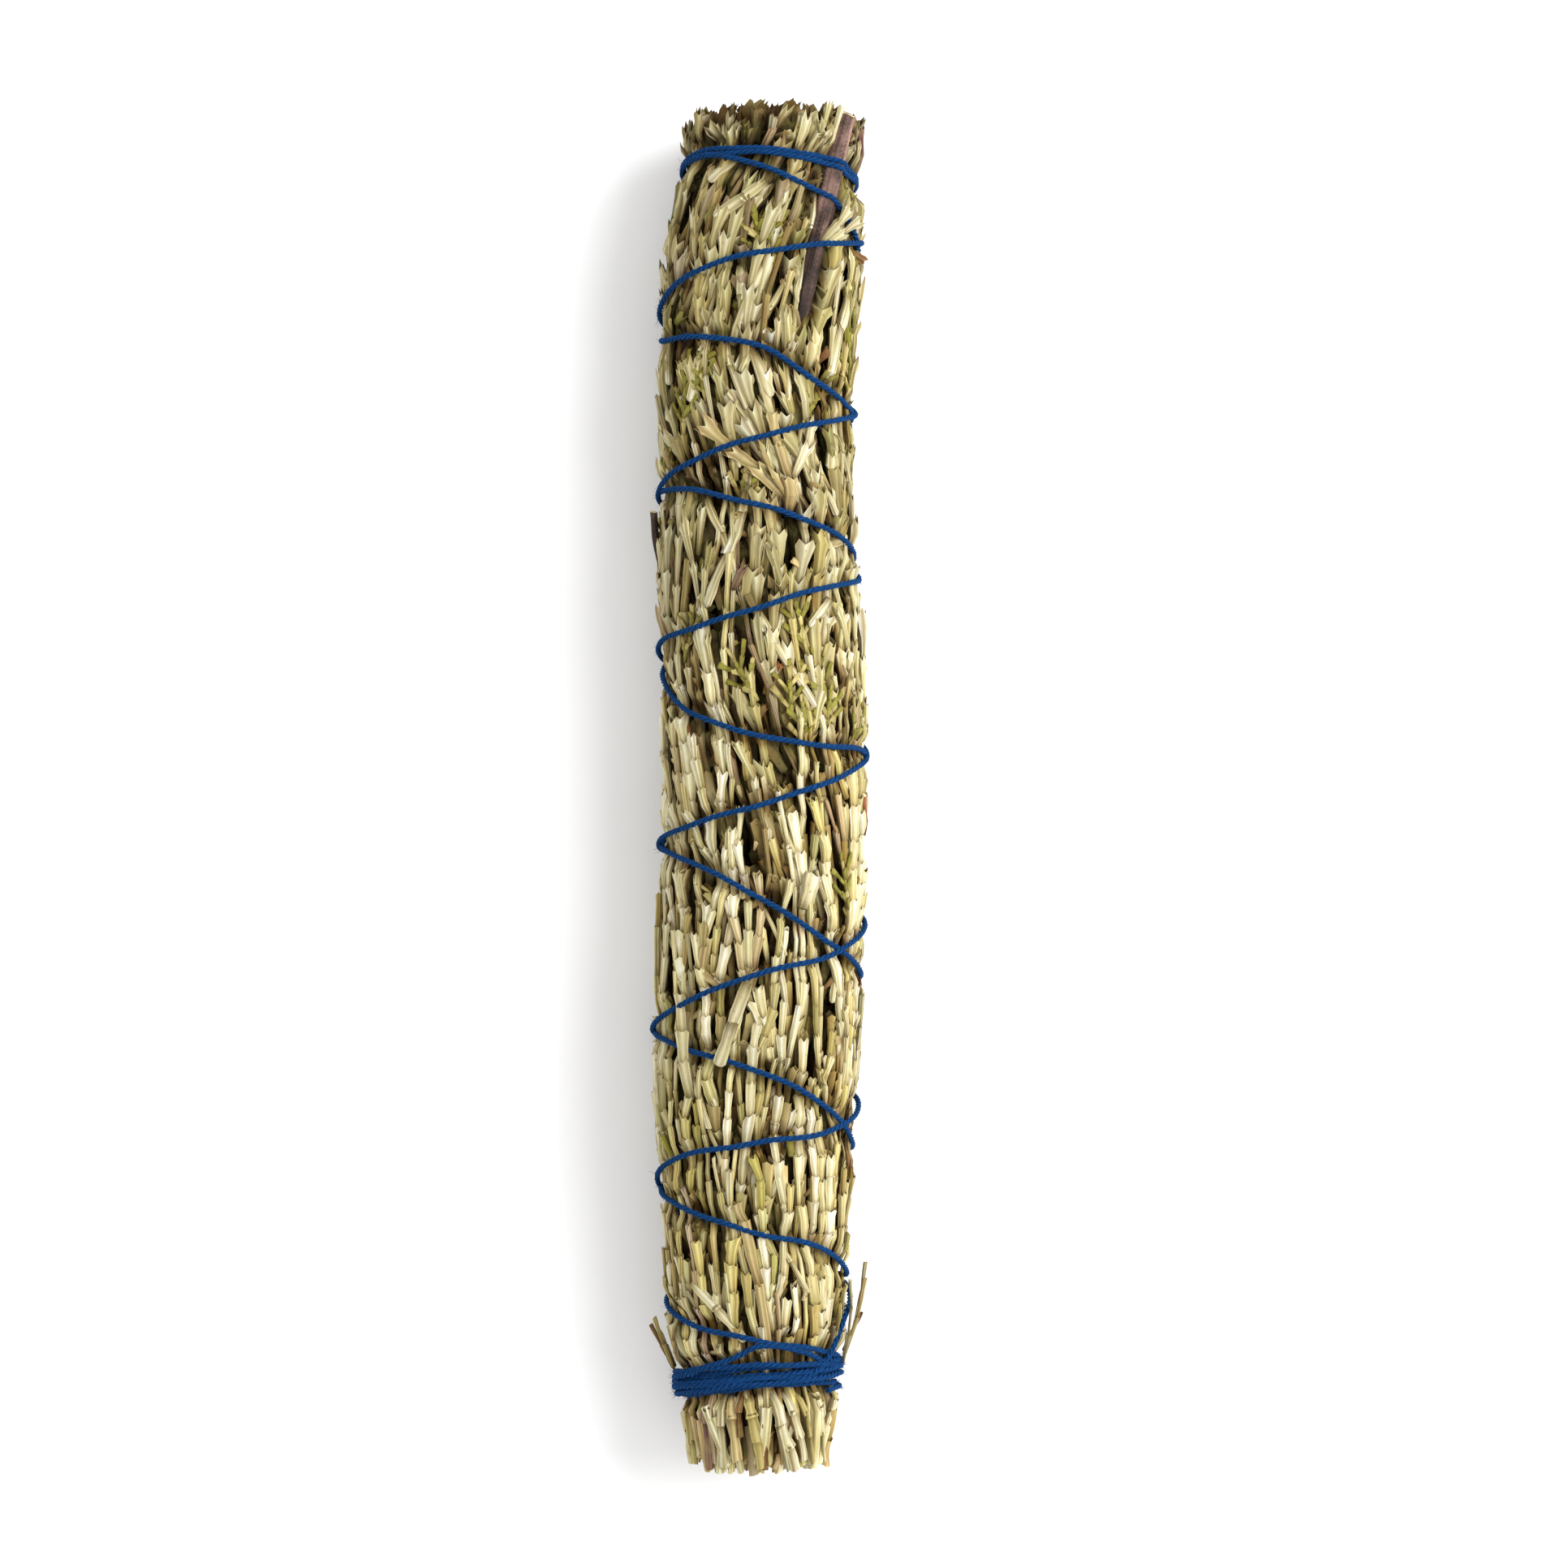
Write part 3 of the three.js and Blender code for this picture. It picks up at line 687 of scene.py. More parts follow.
    def shades(self, joints: Joints, rng: Draws) -> Array:
        """Colour every joint's points: dark at the neck and in the cup, pale at the crown, brown tooth tips.

        The crowns' painted highlight is a little dimmer in the lower part, and cut ends and blunt ends are
        pale.
        The dark neck, sides and cup are painted shade, and the pale crown is partly the leaf's own colour and
        partly a painted highlight.

        Args:
            joints: what to colour.
            rng: the seeded draws.

        Returns:
            A colour for each point of each joint.
        """
        count = len(joints.width)
        shade = np.broadcast_to(np.array(self.ring_painted_light_and_shade)[:, None], (len(self.rings), self.columns))
        shade = np.broadcast_to(shade[None], (count,) + shade.shape).copy()
        shade[:, 0] = np.where(joints.cut[:, None], self.cut_shade, shade[:, 0])
        shade[:, -2] -= self.lower_dimming * (1.0 - smoothstep(-5.0, 30.0, joints.base[:, 1:2]))
        shade[:, -1] = np.where(joints.blunt[:, None], self.dome_shade, shade[:, -1])
        shade *= np.tile(self.column_painted_light_and_shade, 2)[: self.columns]
        shade *= np.clip(1.0 + self.column_spread * rng.normal(size=(count, 1, self.columns)), 0.6, 1.4)
        colours = shade[..., None] ** np.array(self.warmth) * joints.colour[:, None, None, :]
        on_teeth = rng.random((count, self.columns)) * (np.arange(self.columns) % 2 == 0)
        brown = on_teeth[..., None] * self.most_brown
        colours[:, -2] = colours[:, -2] * (1.0 - brown) + TIP_BROWN * brown
        colours = colours.reshape(count, -1, 3)
        # Painted shade inside the neck and in the cup; a cut end and a blunt end keep their pale own colours.
        neck_point = np.where(joints.cut[:, None], CUT_COLOUR, self.neck_painted_shade * joints.colour)
        cup_point = np.where(joints.blunt[:, None], self.dome_shade, self.cup_painted_shade) * joints.colour
        return np.concatenate([colours, neck_point[:, None], cup_point[:, None]], axis=1)


FINE = JointMesher()
COARSE = JointMesher(
    columns=8,
    rings=(0.0, 0.55, 1.0, 0.94),
    grooves=(1.0, 1.0, 0.9, 1.0),
    # The same painted light and shade for the coarse joints, by column and by ring.
    column_painted_light_and_shade=(0.4, 0.8, 1.1, 0.8),
    ring_painted_light_and_shade=(0.36, 0.95, 1.14, 0.16),
)


def add_object(name: str, data: bpy.types.ID) -> Piece:
    """Put new data into the scene as an object."""
    made = bpy.data.objects.new(name, data)
    bpy.context.scene.collection.objects.link(made)
    return made


def face_starts(counts: Array) -> Array:
    """The place of each face's first corner in a list of corners."""
    return np.concatenate([[0], np.cumsum(counts)[:-1]])


def write_mesh(
    name: str, points: Array, corners: Array, counts: Array, colours: Array, places: Array
) -> Piece:
    """Make an object at the origin from arrays of points, faces, colours and texture places.

    Args:
        name: the piece's name.
        points: in millimetres, before the bundle's shift.
        corners: vertex numbers, face after face.
        counts: how many corners each face has.
        colours: a linear colour for each point.
        places: a texture place for each corner.

    Returns:
        The new object, in the scene.
    """
    mesh = bpy.data.meshes.new(name)
    moved = (points + np.array(FORM.shift)) * METRES
    mesh.vertices.add(len(moved))
    mesh.vertices.foreach_set("co", moved.astype(np.float32).ravel())
    mesh.loops.add(len(corners))
    mesh.loops.foreach_set("vertex_index", corners.astype(np.int32))
    mesh.polygons.add(len(counts))
    mesh.polygons.foreach_set("loop_start", face_starts(counts).astype(np.int32))
    mesh.update(calc_edges=True)
    mesh.validate()
    layer = mesh.uv_layers.new(name="along")
    layer.data.foreach_set("uv", places.astype(np.float32).ravel())
    attribute = mesh.color_attributes.new(name="tone", type="FLOAT_COLOR", domain="POINT")
    values = np.concatenate([colours, np.ones((len(colours), 1))], axis=1)
    attribute.data.foreach_set("color", values.astype(np.float32).ravel())
    mesh.shade_smooth()
    mesh.set_sharp_from_angle(angle=math.radians(SHARP_ANGLE))
    return add_object(name, mesh)


def within_limits(points: Array) -> Array:
    """Keep points above the surface that the stick lies on, and within its length, width and height.

    Args:
        points: three numbers each.

    Returns:
        The points, moved to the nearest limit where they were outside.
    """
    kept = points.copy()
    kept[..., 0] = np.clip(kept[..., 0], *WIDTH_LIMITS)
    kept[..., 1] = np.clip(kept[..., 1], *LENGTH_LIMITS)
    kept[..., 2] = np.clip(kept[..., 2], *HEIGHT_LIMITS)
    return kept


def settle(points: Array, pressed: Array) -> Array:
    """Press points in under the thread and round the twigs, trim the tip and keep all within limits.

    Args:
        points: where they would be in a loose bundle, joints by points by three.
        pressed: for each joint, how much of the press reaches it.

    Returns:
        The points moved towards the bundle's middle by the press at their place. Past TRIMMED_AT, where the
        tip was cut level, they move back by TRIM_SHARE of the way. None stays under the surface that the
        stick lies on, or past the limits of its size.
    """
    angle, y, depth = FORM.unwrap(points)
    deeper, least = ROUTE.press(angle, y)
    for run in TWIG_RUNS:
        deeper = deeper + run.press(angle, y, depth)
    deeper = np.maximum(deeper, least - depth)
    moved = points - FORM.outward(angle) * (pressed[:, None] * deeper)[..., None]
    moved[..., 1] -= TRIM_SHARE * np.maximum(moved[..., 1] - TRIMMED_AT, 0.0)
    return within_limits(moved)


@dataclass(frozen=True)
class DepthShade:
    """How leaf darkens towards brown with depth: painted shade in the recesses between and under the chains,
    partly also the browner old leaf inside the bundle.
    """

    palest: float = 0.6
    pale_slope: float = 3.0
    start: float = 0.75
    full: float = 2.1
    upper_part: Range = (0.0, 40.0)
    upper_start: float = 0.25
    upper_full: float = 0.65
    tip_face: Range = (107.0, 111.5)
    tip_share: float = 0.3
    cut_share: float = 0.3
    own_share: float = 0.055
    brown_share: float = 0.08

    def apply(self, colours: Array, points: Array, cut_face: Array) -> Array:
        """Darken a piece's points with painted shade by their depth, partly also the browner inner leaf.

        Args:
            colours: a colour for each point.
            points: where they are.
            cut_face: true for the points of a cut end, which keep most of their own colour.

        Returns:
            The colours, mixed with a dark brown from the depth start to the depth full, both less deep in the
            upper part, and less so at the tip. On the way there, red fades slowest and blue fastest. Before
            that, what is brighter than palest rises only a third as fast above it.
        """
        colours = np.minimum(colours, self.palest + (colours - self.palest) / self.pale_slope)
        _, y, depth = FORM.unwrap(points)
        upper = smoothstep(*self.upper_part, y)
        share = smoothstep(self.start - self.upper_start * upper, self.full - self.upper_full * upper, depth)
        share = share * (1.0 - self.tip_share * smoothstep(*self.tip_face, y))
        share = share * np.where(cut_face, self.cut_share, 1.0)
        share = share[..., None]
        dark = self.own_share * PAINTED_SHADE_TINT * colours + self.brown_share * PAINTED_SHADE_BROWN
        return colours * (1.0 - share) ** PAINTED_SHADE_WARMTH + dark * share


DEPTH_SHADE = DepthShade()


def write_joints(name: str, fine: list[Joints], coarse: list[Joints], rng: Draws) -> Piece:
    """Make one piece of many joints.

    Args:
        name: the piece's name.
        fine: the joints that are seen best.
        coarse: those that lie deep or are small.
        rng: the seeded draws.

    Returns:
        The new object.
    """
    points, corners, counts, colours, places = [], [], [], [], []
    before = 0
    for mesher, lots in ((FINE, fine), (COARSE, coarse)):
        if not lots:
            continue
        joints = Joints.join(lots)
        shaped, shades = mesher.shape(joints, rng)
        shaped = settle(shaped, joints.pressed)
        count, each = shaped.shape[:2]
        own_corners, own_places, own_counts = mesher.faces()
        length = np.linalg.norm(joints.tip - joints.base, axis=1)
        starts = rng.random((count, 2)) * TEXTURE_SPREAD
        u = own_places[None, :, 0] + starts[:, :1]
        v = own_places[None, :, 1] * length[:, None] / TEXTURE_LENGTH + starts[:, 1:]
        points.append(shaped.reshape(-1, 3))
        corners.append((own_corners[None] + each * np.arange(count)[:, None]).ravel() + before)
        counts.append(np.tile(own_counts, count))
        of_neck = np.arange(each) < mesher.columns
        of_neck[-2] = True
        cut_face = joints.cut[:, None] & of_neck
        # Painted shade by depth goes into each joint's colours here.
        colours.append(DEPTH_SHADE.apply(shades, shaped, cut_face).reshape(-1, 3))
        places.append(np.stack([u, v], axis=-1).reshape(-1, 2))
        before += count * each
    parts = (points, corners, counts, colours, places)
    return write_mesh(name, *(np.concatenate(part) for part in parts))


STATIONS = (-111, -98, -90, -40, 5, 25, 100, 112)


def at_stations(*values: float) -> Pairs:
    """Pair each of the usual stations with a value."""
    return tuple(zip(STATIONS, values))


@dataclass(frozen=True)
class Habit:
    """How the foliage grows at a station: its sizes and its disorder by the station along the stick."""

    length: Pairs = (
        (-111, 8.5), (-101, 6.8), (-90, 4.8), (-40, 4.9), (5, 5.3), (25, 6.2), (100, 6.4), (112, 6.0),
    )
    width: Pairs = at_stations(1.75, 1.75, 1.75, 1.85, 2.0, 2.3, 2.3, 2.2)
    neck: Pairs = at_stations(0.88, 0.82, 0.72, 0.68, 0.62, 0.56, 0.56, 0.56)
    grow: Pairs = at_stations(0.6, 0.6, 0.6, 0.6, 0.8, 1.1, 1.1, 1.1)
    flare: Pairs = at_stations(0.04, 0.07, 0.12, 0.12, 0.2, 0.34, 0.36, 0.3)
    tooth: Pairs = (
        (-111, 0.25), (-98, 0.2), (-90, 0.45), (-40, 0.55), (5, 0.8), (25, 1.25), (105, 1.4), (111, 0.8),
    )
    lean: Pairs = at_stations(0.9, 0.9, 1.1, 1.4, 1.7, 1.8, 1.6, 1.2)


HABIT = Habit()


@dataclass(frozen=True)
class Layer:
    """One depth of leaves in a sprig: how many chains side by side, how deep, and their size."""

    lanes: int
    depth: float
    depth_spread: float
    width_share: float
    start_offset: float
    length_share: float = 1.0
    fine: bool = True


class BitShape(Enum):
    """What a bit that lies over the others is."""

    CHAIN = "crowned joints"
    STEM = "bare stem"
    BLUNT = "leaf with a rounded end"


@dataclass(frozen=True)
class LaidBit:
    """A leaf or stem with a place of its own, its nodes given as angle, station and depth.

    One that lies over the thread isn't pressed in by it.
    """

    shape: BitShape
    tone: Tone
    width: float
    nodes: tuple[Triple, ...]
    over_thread: bool = False


# Each row below is a chain, a stem or a leaf with a blunt end.
chain = partial(LaidBit, BitShape.CHAIN)
stem = partial(LaidBit, BitShape.STEM)
blunt = partial(LaidBit, BitShape.BLUNT)

LAID_BITS = (
    stem(Tone.TAN, 2.3, ((68, 44.0, 1.0), (69, 49.4, 0.5))),
    chain(Tone.TAN, 2.6, ((70, 46.1, 0.7), (89, 51.1, 0.3), (107, 54.4, 0.2), (121, 58.1, 0.4))),
    chain(Tone.TAN, 2.0, ((70, 46.4, 0.5), (80, 50.8, 0.3), (87, 55.0, 0.3))),
    stem(Tone.TAN, 1.7, ((69, 49.5, 0.5), (76, 55.1, 0.2), (80, 59.6, 0.5))),
    chain(Tone.STRAW, 2.1, ((66, 49.8, 0.4), (58, 54.5, 0.1), (53, 58.5, 0.1))),
    blunt(Tone.STRAW, 2.3, ((96, -31.5, 0.3), (104, -38.3, -0.1), (110, -44.3, -0.5)), over_thread=True),
    chain(
        Tone.PALE, 1.9, ((131, -50.1, 0.7), (133, -44.6, -0.3), (135, -39.6, -0.1), (140, -33.8, 0.6)),
        over_thread=True,
    ),
    blunt(Tone.STRAW, 1.7, ((178, -38.0, 0.9), (180, -41.6, -0.6))),
    stem(Tone.TAN, 1.7, ((79, -93.1, 0.7), (88, -79.8, 0.4), (97, -69.8, 0.4), (101, -66.9, 0.5))),
    blunt(Tone.STRAW, 1.8, ((134, -80.3, 0.5), (115, -84.2, 0.2), (99, -89.0, 0.3))),
    chain(Tone.STRAW, 3.3, ((64, -19.6, 0.6), (60, -14.4, 0.1))),
    chain(Tone.PALE, 2.1, ((52, 87.6, 0.6), (42, 90.6, -0.1), (33, 93.6, -0.4)), over_thread=True),
    chain(Tone.PALE, 1.9, ((48, 87.4, 0.5), (36, 89.6, 0.0), (21, 92.0, -0.3)), over_thread=True),
    blunt(Tone.PALE, 2.1, ((46, 88.6, 0.6), (53, 83.2, 0.1))),
    blunt(Tone.PALE, 2.3, ((91, 97.2, 0.6), (104, 94.4, 0.1), (119, 91.8, 0.1))),
    blunt(Tone.STRAW, 2.4, ((113, 102.0, 0.7), (127, 98.0, 0.1))),
    blunt(Tone.STRAW, 2.0, ((50, 38.6, 0.5), (20, 40.3, -0.1))),
    chain(Tone.PURPLE, 2.4, ((105, 31.6, 0.5), (99, 35.0, 0.2))),
    stem(Tone.PURPLE, 1.5, ((1, 99.5, 0.5), (0, 107.9, 0.3))),
    stem(Tone.BROWN, 1.3, ((24, 87.4, 0.7), (11, 86.2, -0.4))),
    stem(Tone.RUST, 0.9, ((0, -33.0, 0.5), (3, -31.2, -0.5))),
    blunt(Tone.STRAW, 1.9, ((44, 30.2, 0.4), (60, 26.0, 0.0))),
    stem(
        Tone.PALE, 0.75, ((355, -93.4, -0.1), (358, -88.0, -1.1), (359, -83.0, -1.8), (0, -78.2, -2.4)),
        over_thread=True,
    ),
    stem(Tone.TAN, 0.7, ((1, -93.2, -0.1), (4, -87.0, -1.3), (6, -80.6, -2.4)), over_thread=True),
    chain(
        Tone.PALE, 1.0, ((8, -94.6, 0.1), (13, -89.5, -0.5), (16, -84.9, -0.7), (19, -80.6, -0.7)),
        over_thread=True,
    ),
    stem(Tone.BROWN, 0.7, ((350, -93.0, -0.1), (354, -89.8, -0.9), (357, -86.6, -1.8)), over_thread=True),
    chain(Tone.OLIVE, 1.3, ((22, -93.4, 0.1), (26, -88.3, -0.2), (28, -83.7, 0.0))),
    stem(Tone.BROWN, 0.7, ((177, -95.4, 0.3), (179, -91.6, -1.2), (180, -88.4, -2.4)), over_thread=True),
    stem(Tone.OLIVE, 0.75, ((172, -95.4, 0.3), (171, -91.4, -0.9), (170, -86.9, -1.7)), over_thread=True),
    stem(Tone.PALE, 0.8, ((184, -95.4, 0.5), (183, -92.0, -0.6), (182, -89.4, -1.3)), over_thread=True),
    chain(Tone.TAN, 1.2, ((162, -94.6, 0.3), (158, -90.0, 0.0), (155, -85.8, 0.1))),
    stem(Tone.BROWN, 1.8, ((83, -99.0, 1.2), (85, -104.5, 1.0), (87, -110.2, 0.9))),
    stem(Tone.STRAW, 2.0, ((80, -97.5, 0.9), (72, -103.0, 0.5), (64, -107.0, 0.5), (59, -110.3, 0.5))),
    stem(Tone.PURPLE, 1.5, ((132, -98.0, 0.9), (133, -103.0, 0.6), (134, -110.5, 0.6))),
    chain(Tone.PALE, 1.9, ((118, -98.0, 0.9), (120, -103.4, 0.5), (120, -110.2, 0.5))),
    chain(Tone.OLIVE, 1.9, ((99, -97.0, 0.9), (94, -101.6, 0.4), (90, -105.8, 0.3), (87, -110.1, 0.4))),
    chain(Tone.OLIVE, 1.5, ((62, -97.0, 0.9), (52, -101.5, 0.4), (46, -105.5, 0.4), (41, -109.7, 0.4))),
    chain(Tone.TAN, 1.7, ((112, -97.0, 0.9), (109, -102.0, 0.4), (107, -109.0, 0.4))),
    chain(Tone.PALE, 1.3, ((47, -96.0, 0.9), (38, -101.0, 0.4), (31, -105.4, 0.4), (25, -110.0, 0.4))),
    chain(Tone.STRAW, 1.4, ((72, -96.5, 0.8), (63, -101.2, 0.4), (56, -105.0, 0.4), (50, -109.4, 0.5))),
    chain(
        Tone.OLIVE, 1.4, ((146, -97.0, 0.8), (150, -102.2, 0.4), (152, -107.0, 0.3), (153, -110.2, 0.5)),
    ),
    stem(Tone.BROWN, 1.0, ((101, -97.0, 0.7), (104, -101.0, 0.5), (104, -104.8, 0.5))),
)

GREEN_SPRAYS = (
    (122, 62.0, 12.0), (16, 80.4, -8.0), (17, 62.9, 10.0), (103, 42.3, -14.0), (63, 21.5, 8.0),
    (53, 7.1, -10.0), (88, 84.0, 15.0), (140, 20.0, -12.0), (30, -20.0, 14.0),
)


@dataclass
class Sprig:
    """One leafy sprig of the outer ring: chains of joints that fork upwards, in layers over each other."""

    number: int
    sprigs: int = 14
    layers: tuple[Layer, ...] = (
        Layer(lanes=4, depth=0.95, depth_spread=0.3, width_share=0.88, start_offset=0.0),
        Layer(lanes=3, depth=2.1, depth_spread=0.35, width_share=0.98, start_offset=0.5, fine=False),
        Layer(
            lanes=2, depth=3.8, depth_spread=0.3, width_share=1.4, start_offset=0.25,
            length_share=1.5, fine=False,
        ),
        Layer(
            lanes=1, depth=5.6, depth_spread=0.4, width_share=2.2, start_offset=0.0,
            length_share=1.8, fine=False,
        ),
    )
    stray_layer: Layer = Layer(lanes=0, depth=0.62, depth_spread=0.12, width_share=0.9, start_offset=0.0)
    strays: int = 13
    crumbs: int = 42
    sprays: int = 2
    overlap: float = 0.55
    thickness_share: float = 0.6
    fork_reach: float = 2.2
    fork_length: float = 6.0
    ragged: float = 2.7
    stem_splay: float = 0.11
    thickest: float = 1.9
    gap_chance: Range = (0.1, 0.3)
    end_chains: int = 6
    step_range: Range = (0.72, 1.28)
    overshoot: float = 0.8
    slender_chance: float = 0.17
    slender_stretch: float = 1.4
    slender_width: float = 0.55
    slender_neck: float = 0.86
    first_stretch: Range = (0.45, 1.5)
    wander: float = 0.27
    fork_depth: float = 1.3
    last_lift: float = 0.3
    fallen_chance: float = 0.4
    bulk_spread: float = 0.2
    bulk_limits: Range = (0.62, 1.35)
    large_chance: float = 0.06
    large_share: float = 1.3
    roll: float = 24.0
    joint_roll: float = 9.0
    chain_tone_share: float = 0.6
    lower_brightening: float = 0.42
    cut_neck: float = 0.97
    width_range: Range = (0.9, 1.1)
    thick_range: Range = (0.85, 1.15)
    neck_range: Range = (0.85, 1.15)
    grow_range: Range = (0.8, 1.25)
    flare_range: Range = (0.3, 1.6)
    tooth_range: Range = (0.6, 1.3)
    chain_light: Range = (0.68, 1.12)
    joint_light: Range = (0.86, 1.1)
    tip_light: Range = (0.55, 1.1)
    tip_from: float = 103.0
    stray_span: Range = (-84.0, 92.0)
    upper_strays_from: float = 15.0
    stray_lean: Range = (0.14, 0.5)
    under_last: Range = (1.5, 5.0)
    gap_length: Range = (4.0, 9.0)
    crumb_span: Range = (-96.0, 106.0)
    crumb_depth: Range = (0.95, 2.2)
    crumb_length: Range = (1.4, 3.6)
    scale_step: float = 1.25
    side_row_step: float = 1.3
    side_row_turn: float = 38.0
    scale_length: float = 1.9

    def __post_init__(self) -> None:
        """Seed this sprig's draws by its number."""
        self.rng = np.random.default_rng(SPRIG_SEED + self.number)

    def span(self) -> float:
        """The angle that the sprig covers."""
        return 360.0 / self.sprigs

    def stations(self, start: float, stop: float, count: int, stretch: float) -> Array:
        """Draw the stations of a chain's nodes.

        Args:
            start: where the chain starts.
            stop: the station that it may not pass by more than overshoot.
            count: the most joints that it has.
            stretch: how much longer than usual its joints are.

        Returns:
            Two stations or more.
        """
        found = [start]
        for size in self.rng.uniform(*self.step_range, count) * stretch:
            step = float(smooth_curve(HABIT.length, found[-1])) * size
            if found[-1] + step > stop + self.overshoot:
                break
            found.append(found[-1] + step)
        if len(found) < 2:
            found.append(min(stop, start + 4.0))
        return np.array(found)

    def chain(
        self, line: float, start: float, stop: float, layer: Layer, first: bool
    ) -> tuple[Joints, float]:
        """Grow one chain of joints up a winding line.

        It starts beside the line, as if from a fork with its neighbour, and deeper, and eases to its own
        offset and depth by exp(-(y - start) / fork_length). It leans by a drawn slope.

        Args:
            line: the winding line's angle.
            start: the station where it starts.
            stop: the station that it may not pass.
            layer: its depth and size.
            first: whether it starts at the cut butt.

        Returns:
            The chain's joints and the station where it ends.
        """
        rng = self.rng
        slender = rng.random() < self.slender_chance
        stretch = layer.length_share * (self.slender_stretch if slender else 1.0)
        stretch = stretch * (rng.uniform(*self.first_stretch) if first else 1.0)
        y = self.stations(start, stop, int(rng.integers(2, 8)), stretch)
        fork = np.exp(-(y - start) / self.fork_length) * (0.0 if first else 1.0)
        half = 0.5 * max(y[-1] - y[0], 6.0)
        lean = rng.normal(0.0, 1.0) * float(smooth_curve(HABIT.lean, start)) / half
        wander = rng.normal(0.0, self.wander, len(y))
        offset = rng.choice([-1.0, 1.0]) * self.fork_reach * fork + lean * (y - y.mean()) + wander
        offset = offset + rng.normal(0.0, self.stem_splay) * np.minimum(0.0, y + 97.0)
        depth = layer.depth + layer.depth_spread * rng.normal() + self.fork_depth * fork
        depth = depth + rng.normal(0.0, 0.1, len(y))
        depth = depth + (0.0 if layer.fine else 0.5 * smoothstep(5.0, 35.0, y))
        depth = depth - self.last_lift * smoothstep(0.6, 1.0, np.linspace(0.0, 1.0, len(y)))
        return self.along(line, y, offset, depth, layer, slender, first), float(y[-1])

    def stray(self, line: float) -> Joints:
        """Lay one short chain over the others, leaning across them.

        Args:
            line: the winding line's angle.

        Returns:
            Its joints.
        """
        rng = self.rng
        lowest, highest = self.stray_span
        start = rng.uniform(lowest if rng.random() < 0.5 else self.upper_strays_from, highest)
        slender = rng.random() < 0.4
        y = self.stations(start, FORM.tip_end - 4.0, int(rng.integers(1, 4)), 1.25 if slender else 1.0)
        lean = rng.choice([-1.0, 1.0]) * rng.uniform(*self.stray_lean)
        depth = self.stray_layer.depth + np.linspace(0.7, 0.0, len(y)) + rng.normal(0.0, 0.08, len(y))
        fallen = rng.random() < self.fallen_chance
        if fallen:
            y = y[::-1]
        joints = self.along(line, y, lean * (y - y.mean()), depth, self.stray_layer, slender, False)
        if fallen:
            joints.round_end(tooth=0.1, flare=-0.2, neck=0.75)
            joints.colour[:] = 0.5 * joints.colour + 0.45 * Tone.STRAW.colour()
        return joints

    def along(
        self, line: float, y: Array, offset: Array, depth: Array, layer: Layer, slender: bool, first: bool
    ) -> Joints:
        """Place a chain's nodes and joint them.

        Args:
            line: the winding line's angle.
            y: the nodes' stations.
            offset: how far they lie from the line, round the bundle.
            depth: how deep they lie.
            layer: their size.
            slender: whether the chain is a thin bare branchlet.
            first: whether it starts at the cut butt.

        Returns:
            The joints.
        """
        angle = FORM.twist(y) + line
        depth = np.maximum(depth, 0.4) + 0.5 * smoothstep(99.0, 104.0, -y)
        angle = angle + np.degrees(offset / (FORM.rim(angle, y) - depth))
        half_width = 0.4 * layer.width_share * float(smooth_curve(HABIT.width, y.mean()))
        for run in TWIG_RUNS:
            aside = run.aside(angle, y, depth, half_width)
            angle = angle + np.degrees(aside / (FORM.rim(angle, y) - depth))
        return self.jointed(FORM.under(angle, y, depth), y, angle, layer.width_share, slender, first)

    def share_at(self, share: float, y: Array) -> Array:
        """A layer's width share at a station, which is at most 1 near both ends."""
        return share + (min(share, 1.0) - share) * smoothstep(88.0, 102.0, np.abs(y))

    def jointed(
        self, nodes: Array, y: Array, angle: Array, share: float, slender: bool, first: bool
    ) -> Joints:
        """Put a joint between each two nodes of a chain.

        Args:
            nodes: the chain's points.
            y: their stations.
            angle: their angles.
            share: the layer's width share.
            slender: whether the chain is a thin bare branchlet.
            first: whether its first joint is cut at the butt.

        Returns:
            The joints.
        """
        rng = self.rng
        count = len(nodes) - 1
        middle = 0.5 * (y[1:] + y[:-1])
        direction = unit(nodes[1:] - nodes[:-1])
        usual = smooth_curve(HABIT.width, middle) * self.share_at(share, middle)
        bulk = np.clip(rng.normal(1.0, self.bulk_spread), *self.bulk_limits)
        width = usual * bulk * rng.uniform(*self.width_range, count)
        width = width * np.where(rng.random(count) < self.large_chance, self.large_share, 1.0)
        width = np.minimum(width, self.bulk_limits[1] * usual) * (self.slender_width if slender else 1.0)
        width[-1] *= 0.9
        woody = smoothstep(96.0, 102.0, -middle) if first else np.zeros(count)
        out = FORM.outward(0.5 * (angle[1:] + angle[:-1]))
        roll = np.radians(rng.normal(0.0, self.roll) + rng.normal(0.0, self.joint_roll, count))[:, None]
        out = out * np.cos(roll) + np.cross(direction, out) * np.sin(roll)
        base = nodes[:-1] - direction * np.where(np.arange(count) > 0, self.overlap, 0.0)[:, None]
        mix = STEM_MIX if slender or (first and rng.random() < 0.8) else LEAF_MIX
        own = np.array([LEAF_MIX.draw(rng) for _ in range(count)])
        colour = self.chain_tone_share * mix.draw(rng) + (1.0 - self.chain_tone_share) * own
        colour = colour * rng.uniform(*self.chain_light) * rng.uniform(*self.joint_light, (count, 1))
        lower = 1.0 + self.lower_brightening - self.lower_brightening * smoothstep(5.0, 40.0, middle)
        colour = colour * lower[:, None]
        if y[-1] > self.tip_from:
            colour = colour * rng.uniform(*self.tip_light)
        cut = np.zeros(count, bool)
        cut[0] = first
        neck = smooth_curve(HABIT.neck, middle) * rng.uniform(*self.neck_range, count)
        neck = np.where(cut, self.cut_neck, np.where(slender, self.slender_neck, neck))
        roundness = self.thickness_share + 0.32 * woody + (0.35 if slender else 0.0)
        tooth = smooth_curve(HABIT.tooth, middle) * (0.4 if slender else 1.0)
